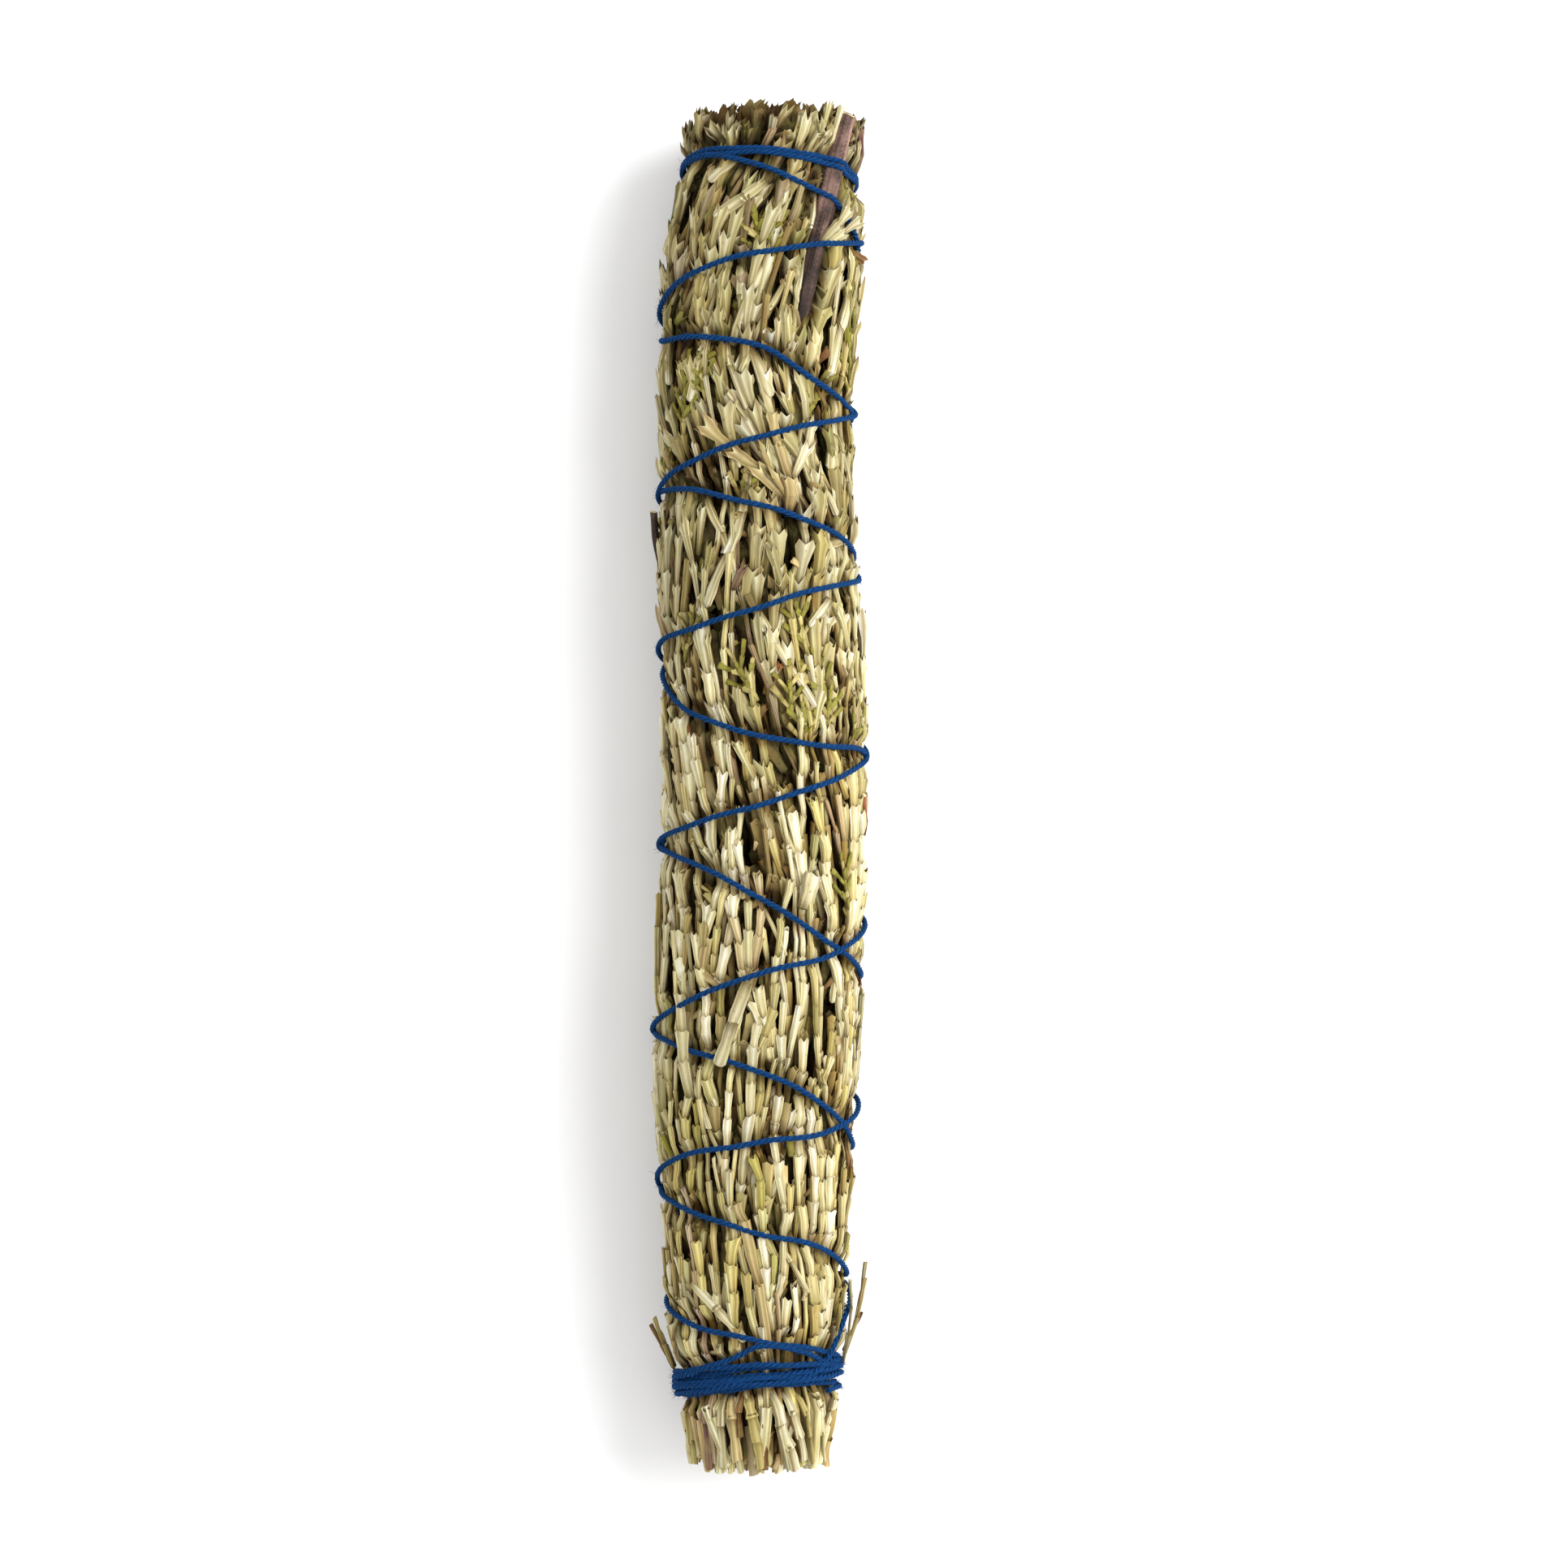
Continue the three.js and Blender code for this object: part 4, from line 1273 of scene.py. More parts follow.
        return Joints(
            base=base,
            tip=nodes[1:],
            out=out,
            width=width,
            thick=np.minimum(width * roundness * rng.uniform(*self.thick_range, count), self.thickest),
            neck=neck,
            grow=smooth_curve(HABIT.grow, middle) * rng.uniform(*self.grow_range, count),
            flare=smooth_curve(HABIT.flare, middle) * rng.uniform(*self.flare_range, count),
            tooth=tooth * rng.uniform(*self.tooth_range, count),
            colour=colour,
            cut=cut,
            blunt=np.zeros(count, bool),
            pressed=np.ones(count),
        )

    def bit(self, laid: LaidBit) -> Joints:
        """Make the joints of one bit that lies over the others.

        Args:
            laid: what it is and where.

        Returns:
            Its joints.
        """
        rng = self.rng
        angle, y, depth = np.array(laid.nodes, float).T
        bare = laid.shape is BitShape.STEM
        joints = self.jointed(FORM.under(angle, y, depth), y, angle, 1.0, bare, False)
        count = len(joints.width)
        joints.width = laid.width * rng.uniform(0.92, 1.06, count)
        joints.thick = joints.width * (0.85 if bare else 0.45)
        joints.colour = laid.tone.colour() * rng.uniform(0.74, 0.98, (count, 1))
        if laid.shape is BitShape.BLUNT:
            joints.round_end(tooth=0.05, flare=-0.15, neck=0.8)
        joints.pressed[:] = 0.0 if laid.over_thread else 1.0
        return joints

    def owns(self, angle: float, y: float) -> bool:
        """Tell whether a place lies over this sprig."""
        return int((angle - float(FORM.twist(y))) % 360.0 / self.span()) == self.number

    def small(
        self, angle: Array, y: Array, depth: Array, heading: Array, length: Array, mix: ToneMix
    ) -> Joints:
        """Make single small joints, each lying along its own heading.

        Args:
            angle: round the bundle.
            y: along it.
            depth: under the outer surface.
            heading: the direction away from the stick's own, to the left.
            length: of each.
            mix: their tones.

        Returns:
            The joints.
        """
        rng = self.rng
        count = len(y)
        turn = np.radians(heading)
        tip_angle = angle + np.degrees(length * np.sin(turn) / (FORM.rim(angle, y) - depth))
        tip_y = y + length * np.cos(turn)
        width = length * rng.uniform(0.36, 0.62, count)
        colour = np.array([mix.draw(rng) for _ in range(count)]) * rng.uniform(0.7, 1.1, (count, 1))
        return Joints(
            base=FORM.under(angle, y, depth),
            tip=FORM.under(tip_angle, tip_y, depth - 0.1),
            out=FORM.outward(angle),
            width=width,
            thick=width * 0.5,
            neck=rng.uniform(0.4, 0.8, count),
            grow=rng.uniform(0.6, 1.0, count),
            flare=rng.uniform(-0.2, 0.15, count),
            tooth=0.4 * width,
            colour=colour,
            cut=np.zeros(count, bool),
            blunt=rng.random(count) < 0.5,
            pressed=np.ones(count),
        )

    def crumble(self) -> Joints:
        """Scatter crumbs of leaf in the gaps between the chains.

        Returns:
            The crumbs.
        """
        rng = self.rng
        y = rng.uniform(*self.crumb_span, self.crumbs)
        angle = FORM.twist(y) + (self.number + rng.random(self.crumbs)) * self.span()
        depth = rng.uniform(*self.crumb_depth, self.crumbs)
        heading = rng.normal(0.0, 38.0, self.crumbs)
        length = rng.uniform(*self.crumb_length, self.crumbs)
        return self.small(angle, y, depth, heading, length, CRUMB_MIX)

    def spray(self, angle: float, y: float, heading: float) -> Joints:
        """Lay one green spray: a row of small scales with a side row from every second scale.

        Args:
            angle: where it starts, round the bundle.
            y: and along it.
            heading: the direction away from the stick's own, to the left.

        Returns:
            Its scales.
        """
        rows = [(0.0, 0.0, heading, 7)]
        for k in range(1, 5):
            side = self.side_row_turn if k % 2 else -self.side_row_turn
            up_row = self.side_row_step * k
            rows.append((up_row * math.sin(math.radians(heading)), up_row, heading + side, 3))
        over, up, turned = [], [], []
        for row_over, row_up, row_heading, scales in rows:
            run = self.scale_step * np.arange(scales)
            over.append(row_over + run * math.sin(math.radians(row_heading)))
            up.append(row_up + run * math.cos(math.radians(row_heading)))
            turned.append(np.full(scales, row_heading))
        station = y + np.concatenate(up)
        around = angle + np.degrees(np.concatenate(over) / 15.5)
        depth = 0.7 + 0.1 * self.rng.normal(size=len(station))
        length = np.full(len(station), self.scale_length)
        return self.small(around, station, depth, np.concatenate(turned), length, SPRAY_MIX)

    def lane(self, line: float, layer: Layer) -> list[Joints]:
        """Grow chains one after another up a line, each starting under the last joint of the one before.

        Args:
            line: the winding line's angle.
            layer: the depth and size of its chains.

        Returns:
            The joints of all its chains.
        """
        rng = self.rng
        butt = FORM.butt_end + rng.uniform(0.3, self.ragged)
        corner = math.cos(math.radians(line + float(FORM.twist(FORM.tip_end)))) ** 2
        stop = FORM.tip_end - rng.uniform(0.6, self.ragged) - 1.2 * corner
        if layer.fine:
            upper = math.cos(math.radians(line + float(FORM.twist(FORM.tip_end)) - 92.0))
            stop -= 1.6 * max(0.0, upper) ** 5
        made = []
        y = butt
        first = True
        while y < stop - 4.0:
            joints, end = self.chain(line, y, stop, layer, first)
            made.append(joints)
            y = end - rng.uniform(*self.under_last)
            if layer.fine and rng.random() < self.gap_chance[int(y > 15.0)]:
                y += rng.uniform(*self.gap_length)
            first = False
            if end > stop - 2.0:
                break
        return made

    def end_chain(self, at_tip: bool) -> Joints:
        """Grow one short chain inside the bundle's end, which only the end view shows.

        Args:
            at_tip: whether it lies at the leafy end rather than at the butt.

        Returns:
            Its joints.
        """
        rng = self.rng
        line = (self.number + rng.random()) * self.span()
        depth = rng.uniform(2.4, 8.0)
        if at_tip:
            y = np.linspace(rng.uniform(92.0, 97.0), FORM.tip_end - rng.uniform(1.4, self.ragged + 1.0), 3)
        else:
            y = np.linspace(FORM.butt_end + rng.uniform(0.3, 1.6), -97.0, 3)
        layer = Layer(lanes=0, depth=depth, depth_spread=0.0, width_share=1.0, start_offset=0.0)
        offset = rng.normal(0.0, 0.04) * (y - y.mean())
        return self.along(line, y, offset, np.full(3, depth), layer, False, not at_tip)

    def build(self) -> Piece:
        """Grow every lane of every layer and make the piece.

        Returns:
            The sprig's leaves.
        """
        fine, coarse = [], [self.crumble()]
        for layer in self.layers:
            for k in range(layer.lanes):
                share = (k + 0.5 + layer.start_offset) / layer.lanes + self.rng.normal(0.0, 0.03)
                grown = self.lane((self.number + share) * self.span(), layer)
                (fine if layer.fine else coarse).extend(grown)
        coarse += [self.end_chain(at_tip) for at_tip in (True, False) for _ in range(self.end_chains)]
        for _ in range(self.strays):
            fine.append(self.stray((self.number + self.rng.random()) * self.span()))
        for laid in LAID_BITS:
            if self.owns(laid.nodes[0][0], laid.nodes[0][1]):
                fine.append(self.bit(laid))
        for angle, y, heading in GREEN_SPRAYS:
            if self.owns(angle, y):
                coarse.append(self.spray(angle, y, heading))
        for _ in range(self.sprays):
            y = self.rng.uniform(0.0, 95.0)
            angle = float(FORM.twist(y)) + (self.number + self.rng.random()) * self.span()
            coarse.append(self.spray(angle, y, self.rng.normal(0.0, 20.0)))
        name = f"cedar_sprig_{self.number + 1:02d}"
        made = write_joints(f"{name}_leaves", fine, coarse, self.rng)
        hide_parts(name)
        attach(made, BODY)
        return made


@dataclass
class InnerSprig(Sprig):
    """A sprig inside the ring, seen only at the ends and as dark depth. Its joints are larger."""

    sprigs: int = 6
    shells: tuple[tuple[float, int], ...] = ((0.47, 3), (0.28, 2))

    def lane_at(self, line: float, radius_share: float) -> Joints:
        """Grow one long chain at a share of the bundle's radius.

        Args:
            line: the winding line's angle.
            radius_share: the share of the radius over the leaves.

        Returns:
            Its joints.
        """
        rng = self.rng
        start = FORM.butt_end + rng.uniform(0.3, self.ragged)
        stop = FORM.tip_end - rng.uniform(1.0, self.ragged + 1.0)
        count = int(round((stop - start) / 8.0))
        y = np.linspace(start, stop, count + 1)
        y[1:-1] += rng.normal(0.0, 0.6, count - 1)
        angle = FORM.twist(y) + line + rng.normal(0.0, 3.0, count + 1)
        radius = FORM.rim(angle, y) * (radius_share + rng.normal(0.0, 0.02, count + 1))
        joints = self.jointed(FORM.at_radius(angle, y, radius), y, angle, 1.5, False, True)
        joints.pressed[:] = 0.0
        return joints

    def build(self) -> Piece:
        """Grow the shells and make the piece.

        Returns:
            The sprig's leaves.
        """
        parts = []
        for radius_share, lanes in self.shells:
            for k in range(lanes):
                share = (k + 0.5) / lanes + self.rng.normal(0.0, 0.03)
                parts.append(self.lane_at((self.number + share) * self.span(), radius_share))
        name = f"inner_sprig_{self.number + 1}"
        made = write_joints(f"{name}_leaves", [], parts, self.rng)
        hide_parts(name)
        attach(made, BODY)
        return made


def tube_faces(rings: int, sides: int, ring_step: float) -> Arrays:
    """The faces of a tube whose ends are closed by fans.

    Args:
        rings: how many rings.
        sides: points in each ring.
        ring_step: how far the texture runs along for each ring.

    Returns:
        Corner vertices, face sizes and texture places.
    """
    i, j = np.meshgrid(np.arange(rings - 1), np.arange(sides), indexing="ij")
    i, j = i.ravel(), j.ravel()
    k = (j + 1) % sides
    quads = np.stack([i * sides + j, (i + 1) * sides + j, (i + 1) * sides + k, i * sides + k], axis=1)
    u = np.stack([j, j, j + 1, j + 1], axis=1) / sides
    v = np.stack([i, i + 1, i + 1, i], axis=1) * ring_step
    side = np.arange(sides)
    after = (side + 1) % sides
    last_ring = (rings - 1) * sides
    start_point = np.full(sides, rings * sides)
    start_fan = np.stack([start_point, side, after], axis=1)
    end_fan = np.stack([last_ring + side, start_point + 1, last_ring + after], axis=1)
    corners = np.concatenate([quads.ravel(), start_fan.ravel(), end_fan.ravel()])
    counts = np.concatenate([np.full(len(quads), 4), np.full(2 * sides, 3)])
    fan_u = np.stack([side + 0.5, side, side + 1], axis=1) / sides
    fan_places = np.stack([fan_u, np.zeros_like(fan_u)], axis=-1).reshape(-1, 2)
    places = np.concatenate([np.stack([u, v], axis=-1).reshape(-1, 2), fan_places, fan_places])
    return corners, counts, places


def section_axes(along: Array, angle: Array) -> tuple[Array, Array]:
    """The directions across a tube: sideways, and outwards at right angles to its run."""
    side = unit(np.cross(along, FORM.outward(angle)))
    return side, np.cross(side, along)


def section_points(centres: Array, side: Array, out: Array, reach: Array, turn: Array) -> Array:
    """Points round a middle line: centre + side reach cos(turn) + out reach sin(turn)."""
    across = side[:, None] * (reach * np.cos(turn))[..., None]
    return centres[:, None] + across + out[:, None] * (reach * np.sin(turn))[..., None]


@dataclass(frozen=True)
class Thread:
    """The cotton thread: three plies twisted together, along one route from the first wrap to the last."""

    sides: int = 12
    ring_step: float = 0.42
    ply_pitch: float = 3.4
    ply_offset: float = 0.24
    ply_radius: float = 0.25
    colour: Triple = (11, 52, 98)
    low_layer_depth: float = 1.38
    top_layer_depth: float = 0.42
    tip_layer_depth: float = 0.82
    angle_step: float = 3.0
    low_turns: float = 4.0
    joined_depth: float = 0.9
    top_turns: float = 4.0 + 340.0 / 360.0
    bow_out: Range = (620.0, 880.0)
    swelling: float = 0.035
    # Painted shade in the valleys between the plies and a painted highlight on their ridges.
    ply_valley_painted_shade: float = 0.45
    ply_ridge_painted_highlight: float = 0.6

    def low_wraps(self) -> Arrays:
        """The first four turns at the butt, side by side under the others.

        Returns:
            Angle wound through, station and depth.
        """
        wound = self.low_turns * 360.0
        angle = np.arange(-wound, 0.0, self.angle_step)
        share = (angle + wound) / wound
        offset = -2.1 + share * 3.9 + 0.12 * np.sin(np.radians(2.3 * angle))
        station = ROUTE.butt_band.middle(angle) + offset
        joined = smoothstep(-120.0, 0.0, angle)
        station = station * (1.0 - joined) + float(smooth_curve(ROUTE.wound(), 0.0)) * joined
        depth = self.low_layer_depth * (1.0 - joined) + self.joined_depth * joined
        return angle, station, depth

    def rise(self) -> Arrays:
        """The turns that climb to the tip.

        Returns:
            Angle wound through, station and depth.
        """
        angle = np.arange(0.0, ROUTE.risen() - ROUTE.tip_entry, self.angle_step)
        depth = ROUTE.depth + (self.joined_depth - ROUTE.depth) * (1.0 - smoothstep(0.0, 60.0, angle))
        return angle, smooth_curve(ROUTE.wound(), angle), depth

    def tip_wraps(self) -> Arrays:
        """Two turns round the leafy end, the first above the second.

        Returns:
            Angle wound through, station and depth.
        """
        start = ROUTE.risen() - ROUTE.tip_entry
        end = ROUTE.risen() + ROUTE.tip_entry + 360.0
        angle = np.arange(start, end, self.angle_step)
        middle = ROUTE.tip_band.middle(angle)
        into = smooth_curve(ROUTE.wound(), start) - ROUTE.tip_band.middle(start)
        out_of = smooth_curve(ROUTE.wound(), end - 360.0) - ROUTE.tip_band.middle(end)
        offset = smooth_curve(
            (
                (start, float(into)), (start + 90.0, 0.36), (start + 330.0, 0.34), (start + 430.0, -0.34),
                (end - 60.0, -0.4), (end, float(out_of)),
            ),
            angle,
        )
        return angle, middle + offset, np.full_like(angle, self.tip_layer_depth)

    def fall(self) -> Arrays:
        """The turns that come back down over the climbing ones.

        Returns:
            Angle wound through, station and depth.
        """
        wound = np.arange(ROUTE.risen() + ROUTE.tip_entry, ROUTE.wound()[-1][0], self.angle_step)
        return wound + 360.0, smooth_curve(ROUTE.wound(), wound), ROUTE.over_depth(wound)

    def top_wraps(self) -> Arrays:
        """The last turns at the butt, over the first ones, one of which bows up out of the band.

        Returns:
            Angle wound through, station and depth.
        """
        start = ROUTE.wound()[-1][0] + 360.0
        angle = np.arange(start, start + 360.0 * self.top_turns, self.angle_step)
        wound = angle - start
        middle = ROUTE.butt_band.middle(angle)
        begin = ROUTE.wound()[-1][1] - float(ROUTE.butt_band.middle(start))
        offset = smooth_curve(
            (
                (0.0, begin), (140.0, 0.3), (300.0, 0.35), (400.0, 1.85), (640.0, 1.75), (760.0, 1.2),
                (1010.0, 1.1), (1110.0, -0.45), (1360.0, -0.5), (1460.0, -1.3), (1700.0, -1.9),
                (1780.0, -3.4),
            ),
            wound,
        )
        turn = angle % 360.0
        bows = (wound > self.bow_out[0]) & (wound < self.bow_out[1])
        bows = bows & (turn > ROUTE.loop[0][0]) & (turn < ROUTE.loop[-1][0])
        station = np.where(bows, smooth_curve(ROUTE.loop, turn), middle + offset)
        depth = self.top_layer_depth + 0.18 * np.sin(np.radians(1.7 * wound))
        return angle, station, depth

    def centre_line(self) -> Array:
        """The whole thread's middle line, with slight bends where it lies over stems, stepped evenly.

        Returns:
            Points a ring step apart.
        """
        runs = [self.low_wraps(), self.rise(), self.tip_wraps(), self.fall(), self.top_wraps()]
        angle, station, depth = (np.concatenate([run[k] for run in runs]) for k in range(3))
        loose = np.radians(angle)
        station = station + 0.12 * np.sin(3.7 * loose + 1.0) + 0.1 * np.sin(7.9 * loose)
        for run in TWIG_RUNS:
            depth = run.lifted(angle, station, depth, self.ply_offset + self.ply_radius)
        points = FORM.under(angle, station, depth)
        kernel = np.array([0.25, 0.5, 0.25])
        for _ in range(2):
            padded = np.concatenate([points[:1], points, points[-1:]])
            points = np.stack([np.convolve(padded[:, c], kernel, mode="valid") for c in range(3)], axis=1)
        steps = np.linalg.norm(np.diff(points, axis=0), axis=1)
        run = np.concatenate([[0.0], np.cumsum(steps)])
        even = np.linspace(0.0, run[-1], int(run[-1] / self.ring_step) + 1)
        return np.stack([np.interp(even, run, points[:, c]) for c in range(3)], axis=1)

    def build(self) -> Piece:
        """Carry the three-lobed section along the middle line.

        A ply's edge, at angle a from its own middle, is offset cos a + sqrt(radius^2 - offset^2 sin^2 a)
        from the thread's middle, and the section turns once in each ply pitch. Its colour is painted shade in
        the valleys between the plies and a painted highlight on their ridges.

        Returns:
            The thread piece.
        """
        centres = self.centre_line()
        count = len(centres)
        along = unit(np.gradient(centres, axis=0))
        angle, _, _ = FORM.unwrap(centres)
        side, out = section_axes(along, angle)
        column = 2.0 * np.pi * np.arange(self.sides) / self.sides
        lobe = (column + np.pi / 3.0) % (2.0 * np.pi / 3.0) - np.pi / 3.0
        bulge = np.sqrt(self.ply_radius**2 - (self.ply_offset * np.sin(lobe)) ** 2)
        reach = self.ply_offset * np.cos(lobe) + bulge
        turn = column[None] - 2.0 * np.pi * np.arange(count)[:, None] * self.ring_step / self.ply_pitch
        rng = np.random.default_rng(THREAD_SEED)
        swell = 1.0 + self.swelling * rng.normal(size=(count, 1))
        reach = reach[None] * swell
        points = section_points(centres, side, -out, reach, turn)
        points = within_limits(np.concatenate([points.reshape(-1, 3), centres[:1], centres[-1:]]))
        corners, counts, places = tube_faces(count, self.sides, self.ring_step)
        # Painted shade in the ply valleys, painted highlight on the ridges.
        ridge = (reach / (self.ply_offset + self.ply_radius)) ** 2
        shade = np.concatenate([(self.ply_valley_painted_shade + self.ply_ridge_painted_highlight * ridge).ravel(), [0.8, 0.8]])
        colours = shade[:, None] * linear(*self.colour)
        made = write_mesh("thread_plies", points, corners, counts, colours, places)
        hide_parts("binding_thread")
        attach(made, BODY)
        LOG.info("thread is %.0f mm long", (count - 1) * self.ring_step)
        return made


@dataclass(frozen=True)
class ThreadFuzz:
    """Loose cotton fibres that stand off the thread: thin closed tubes that curl away from it."""

    fibres: int = 2600
    sides: int = 3
    rings: int = 4
    radius: float = 0.028
    length: Range = (0.4, 1.3)
    droop: float = 0.45
    band_weight: float = 1.8

    def build(self, thread: Thread) -> Piece:
        """Make the fibres.

        A fibre starts on the thread and runs by p(t) = start + length (t run + droop t^2 curl), where run is
        a drawn mix of the thread's own direction and one away from it, and curl is a drawn direction.

        Args:
            thread: the thread that they stand off.

        Returns:
            The fuzz piece.
        """
        rng = np.random.default_rng(FUZZ_SEED)
        centres = thread.centre_line()
        along = unit(np.gradient(centres, axis=0))
        _, y, _ = FORM.unwrap(centres)
        weight = 1.0 + self.band_weight * (y < -90.0)
        at = rng.choice(len(centres), self.fibres, p=weight / weight.sum())
        angle, _, _ = FORM.unwrap(centres[at])
        out = FORM.outward(angle)
        side = np.cross(along[at], out)
        turn = rng.uniform(0.0, 2.0 * np.pi, self.fibres)[:, None]
        away = unit(side * np.cos(turn) + out * np.abs(np.sin(turn)))
        sense = rng.choice([-1.0, 1.0], (self.fibres, 1))
        run = unit(along[at] * sense + away * rng.uniform(0.1, 0.9, (self.fibres, 1)))
        start = centres[at] + away * (thread.ply_offset + 0.6 * thread.ply_radius)
        length = rng.uniform(*self.length, self.fibres)[:, None, None]
        t = np.linspace(0.0, 1.0, self.rings)[None, :, None]
        curl = unit(rng.normal(size=(self.fibres, 3)) + 0.8 * away)
        middle = start[:, None] + length * (t * run[:, None] + self.droop * t**2 * curl[:, None])
        across = unit(np.cross(run, curl))
        up = np.cross(across, run)
        column = 2.0 * np.pi * np.arange(self.sides) / self.sides
        ring = across[:, None] * np.cos(column)[None, :, None] + up[:, None] * np.sin(column)[None, :, None]
        points = middle[:, :, None] + self.radius * (1.0 - 0.5 * t[..., None]) * ring[:, None]
        points = np.concatenate([points.reshape(self.fibres, -1, 3), middle[:, :1], middle[:, -1:]], axis=1)
        points = within_limits(points)
        corners, counts, places = tube_faces(self.rings, self.sides, 0.3)
        corners = flip_faces(corners, counts)
        each = points.shape[1]
        all_corners = (corners[None] + each * np.arange(self.fibres)[:, None]).ravel()
        colours = linear(*thread.colour)[None] * rng.uniform(0.8, 2.2, (self.fibres, 1))
        colours = np.repeat(colours, each, axis=0)
        made = write_mesh(
            "thread_fuzz", points.reshape(-1, 3), all_corners, np.tile(counts, self.fibres), colours,
            np.tile(places, (self.fibres, 1)),
        )
        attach(made, BODY)
        return made


@dataclass(frozen=True)
class Twig:
    """A bare twig along its run."""

    node: str
    run: TwigRun
    colour: Triple
    slot: str
    sides: int = 14
    ring_step: float = 0.7
    cut_inset: float = 0.9
    cut_shade: float = 0.62
    slant: float = 0.6
    cut_rings: Floats = (0.4, 0.75, 1.0, 1.0)
    cut_facing: Triple = (0.4, 0.0, 1.0)
    buried_painted_shade: float = 0.3
    ridge: float = 0.05
    unevenness: float = 0.015
    streaks: float = 0.22
    patchiness: float = 0.16

    def build(self, seed: int) -> Piece:
        """Make the twig: a tube with ridges along its bark and a pale cut at each end, the last one slanted.

        Its radius is the run's own times 1 + ridge sin(5 a + 0.2 y) + ridge sin(3 a - 0.4 y). Each end ring
        is doubled, and the outer one is a little smaller and pale. The last rings are cut at a slant, lower
        by slant * (1 + the cosine of the angle to cut_facing). The bark is darker towards the first end,
        where
        the twig runs deep under the leaves: painted shade.

        Args:
            seed: for its draws.

        Returns:
            The twig piece.
        """
        rng = np.random.default_rng(seed)
        count = max(8, int(abs(self.run.end[1] - self.run.begin[1]) / self.ring_step))
        y = np.linspace(self.run.begin[1], self.run.end[1], count - 2)
        y = np.concatenate([y[:1], y, y[-1:]])
        angle, depth, radius = self.run.at(y)
        centres = FORM.under(angle, y, depth)
        along = unit(np.gradient(centres[1:-1], axis=0))
        along = np.concatenate([along[:1], along, along[-1:]])
        side, out = section_axes(along, angle)
        turn = 2.0 * np.pi * np.arange(self.sides) / self.sides
        ridges = 1.0 + self.ridge * np.sin(5 * turn[None] + 0.2 * y[:, None])
        ridges = ridges + self.ridge * np.sin(3 * turn[None] - 0.4 * y[:, None])
        reach = radius[:, None] * ridges * (1.0 + self.unevenness * rng.normal(size=(1, self.sides)))
        reach[[0, -1]] *= self.cut_inset
        slant = np.zeros(count)
        slant[-4:] = np.array(self.cut_rings) * self.slant * radius[-1]
        ring = side[:, None] * np.cos(turn)[:, None] + out[:, None] * np.sin(turn)[:, None]
        facing = ring @ unit(np.array(self.cut_facing))
        points = section_points(centres, side, out, reach, turn)
        points = points - along[:, None] * (slant[:, None] * (1.0 + facing))[..., None]
        cut_middle = centres[-1:] - along[-1:] * slant[-1]
        points = within_limits(np.concatenate([points.reshape(-1, 3), centres[:1], cut_middle]))
        corners, counts, places = tube_faces(count, self.sides, self.ring_step / TEXTURE_LENGTH)
        corners = flip_faces(corners, counts)
        streak = np.clip(1.0 + self.streaks * rng.normal(size=(1, self.sides, 1)), 0.5, 1.5)
        patches = 1.0 + self.patchiness * np.sin(0.9 * y + 1.0) * np.sin(0.37 * y)
        # Painted shade: the bark darkens towards its first end, where it runs deep under the leaves.
        fade = (patches * (1.0 - self.buried_painted_shade * np.linspace(1.0, 0.0, count) ** 0.7))[:, None, None]
        colours = fade * streak * linear(*self.colour)
        colours[[0, -1]] = self.cut_shade * CUT_COLOUR
        colours = np.concatenate([colours.reshape(-1, 3), CUT_COLOUR[None], CUT_COLOUR[None]])
        made = write_mesh(f"{self.node}_wood", points, corners, counts, colours, places)
        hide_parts(self.node)
        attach(made, BODY)
        return made


def flip_faces(corners: Array, counts: Array) -> Array:
    """Turn every face round, keeping its first corner's place in the list.

    Args:
        corners: vertex numbers, face after face.
        counts: corners in each face.

    Returns:
        The same numbers in the opposite order round each face.
    """
    starts = face_starts(counts)
    owner = np.repeat(np.arange(len(counts)), counts)
    place = np.arange(len(corners)) - starts[owner]
    return corners[starts[owner] + (counts[owner] - place) % counts[owner]]


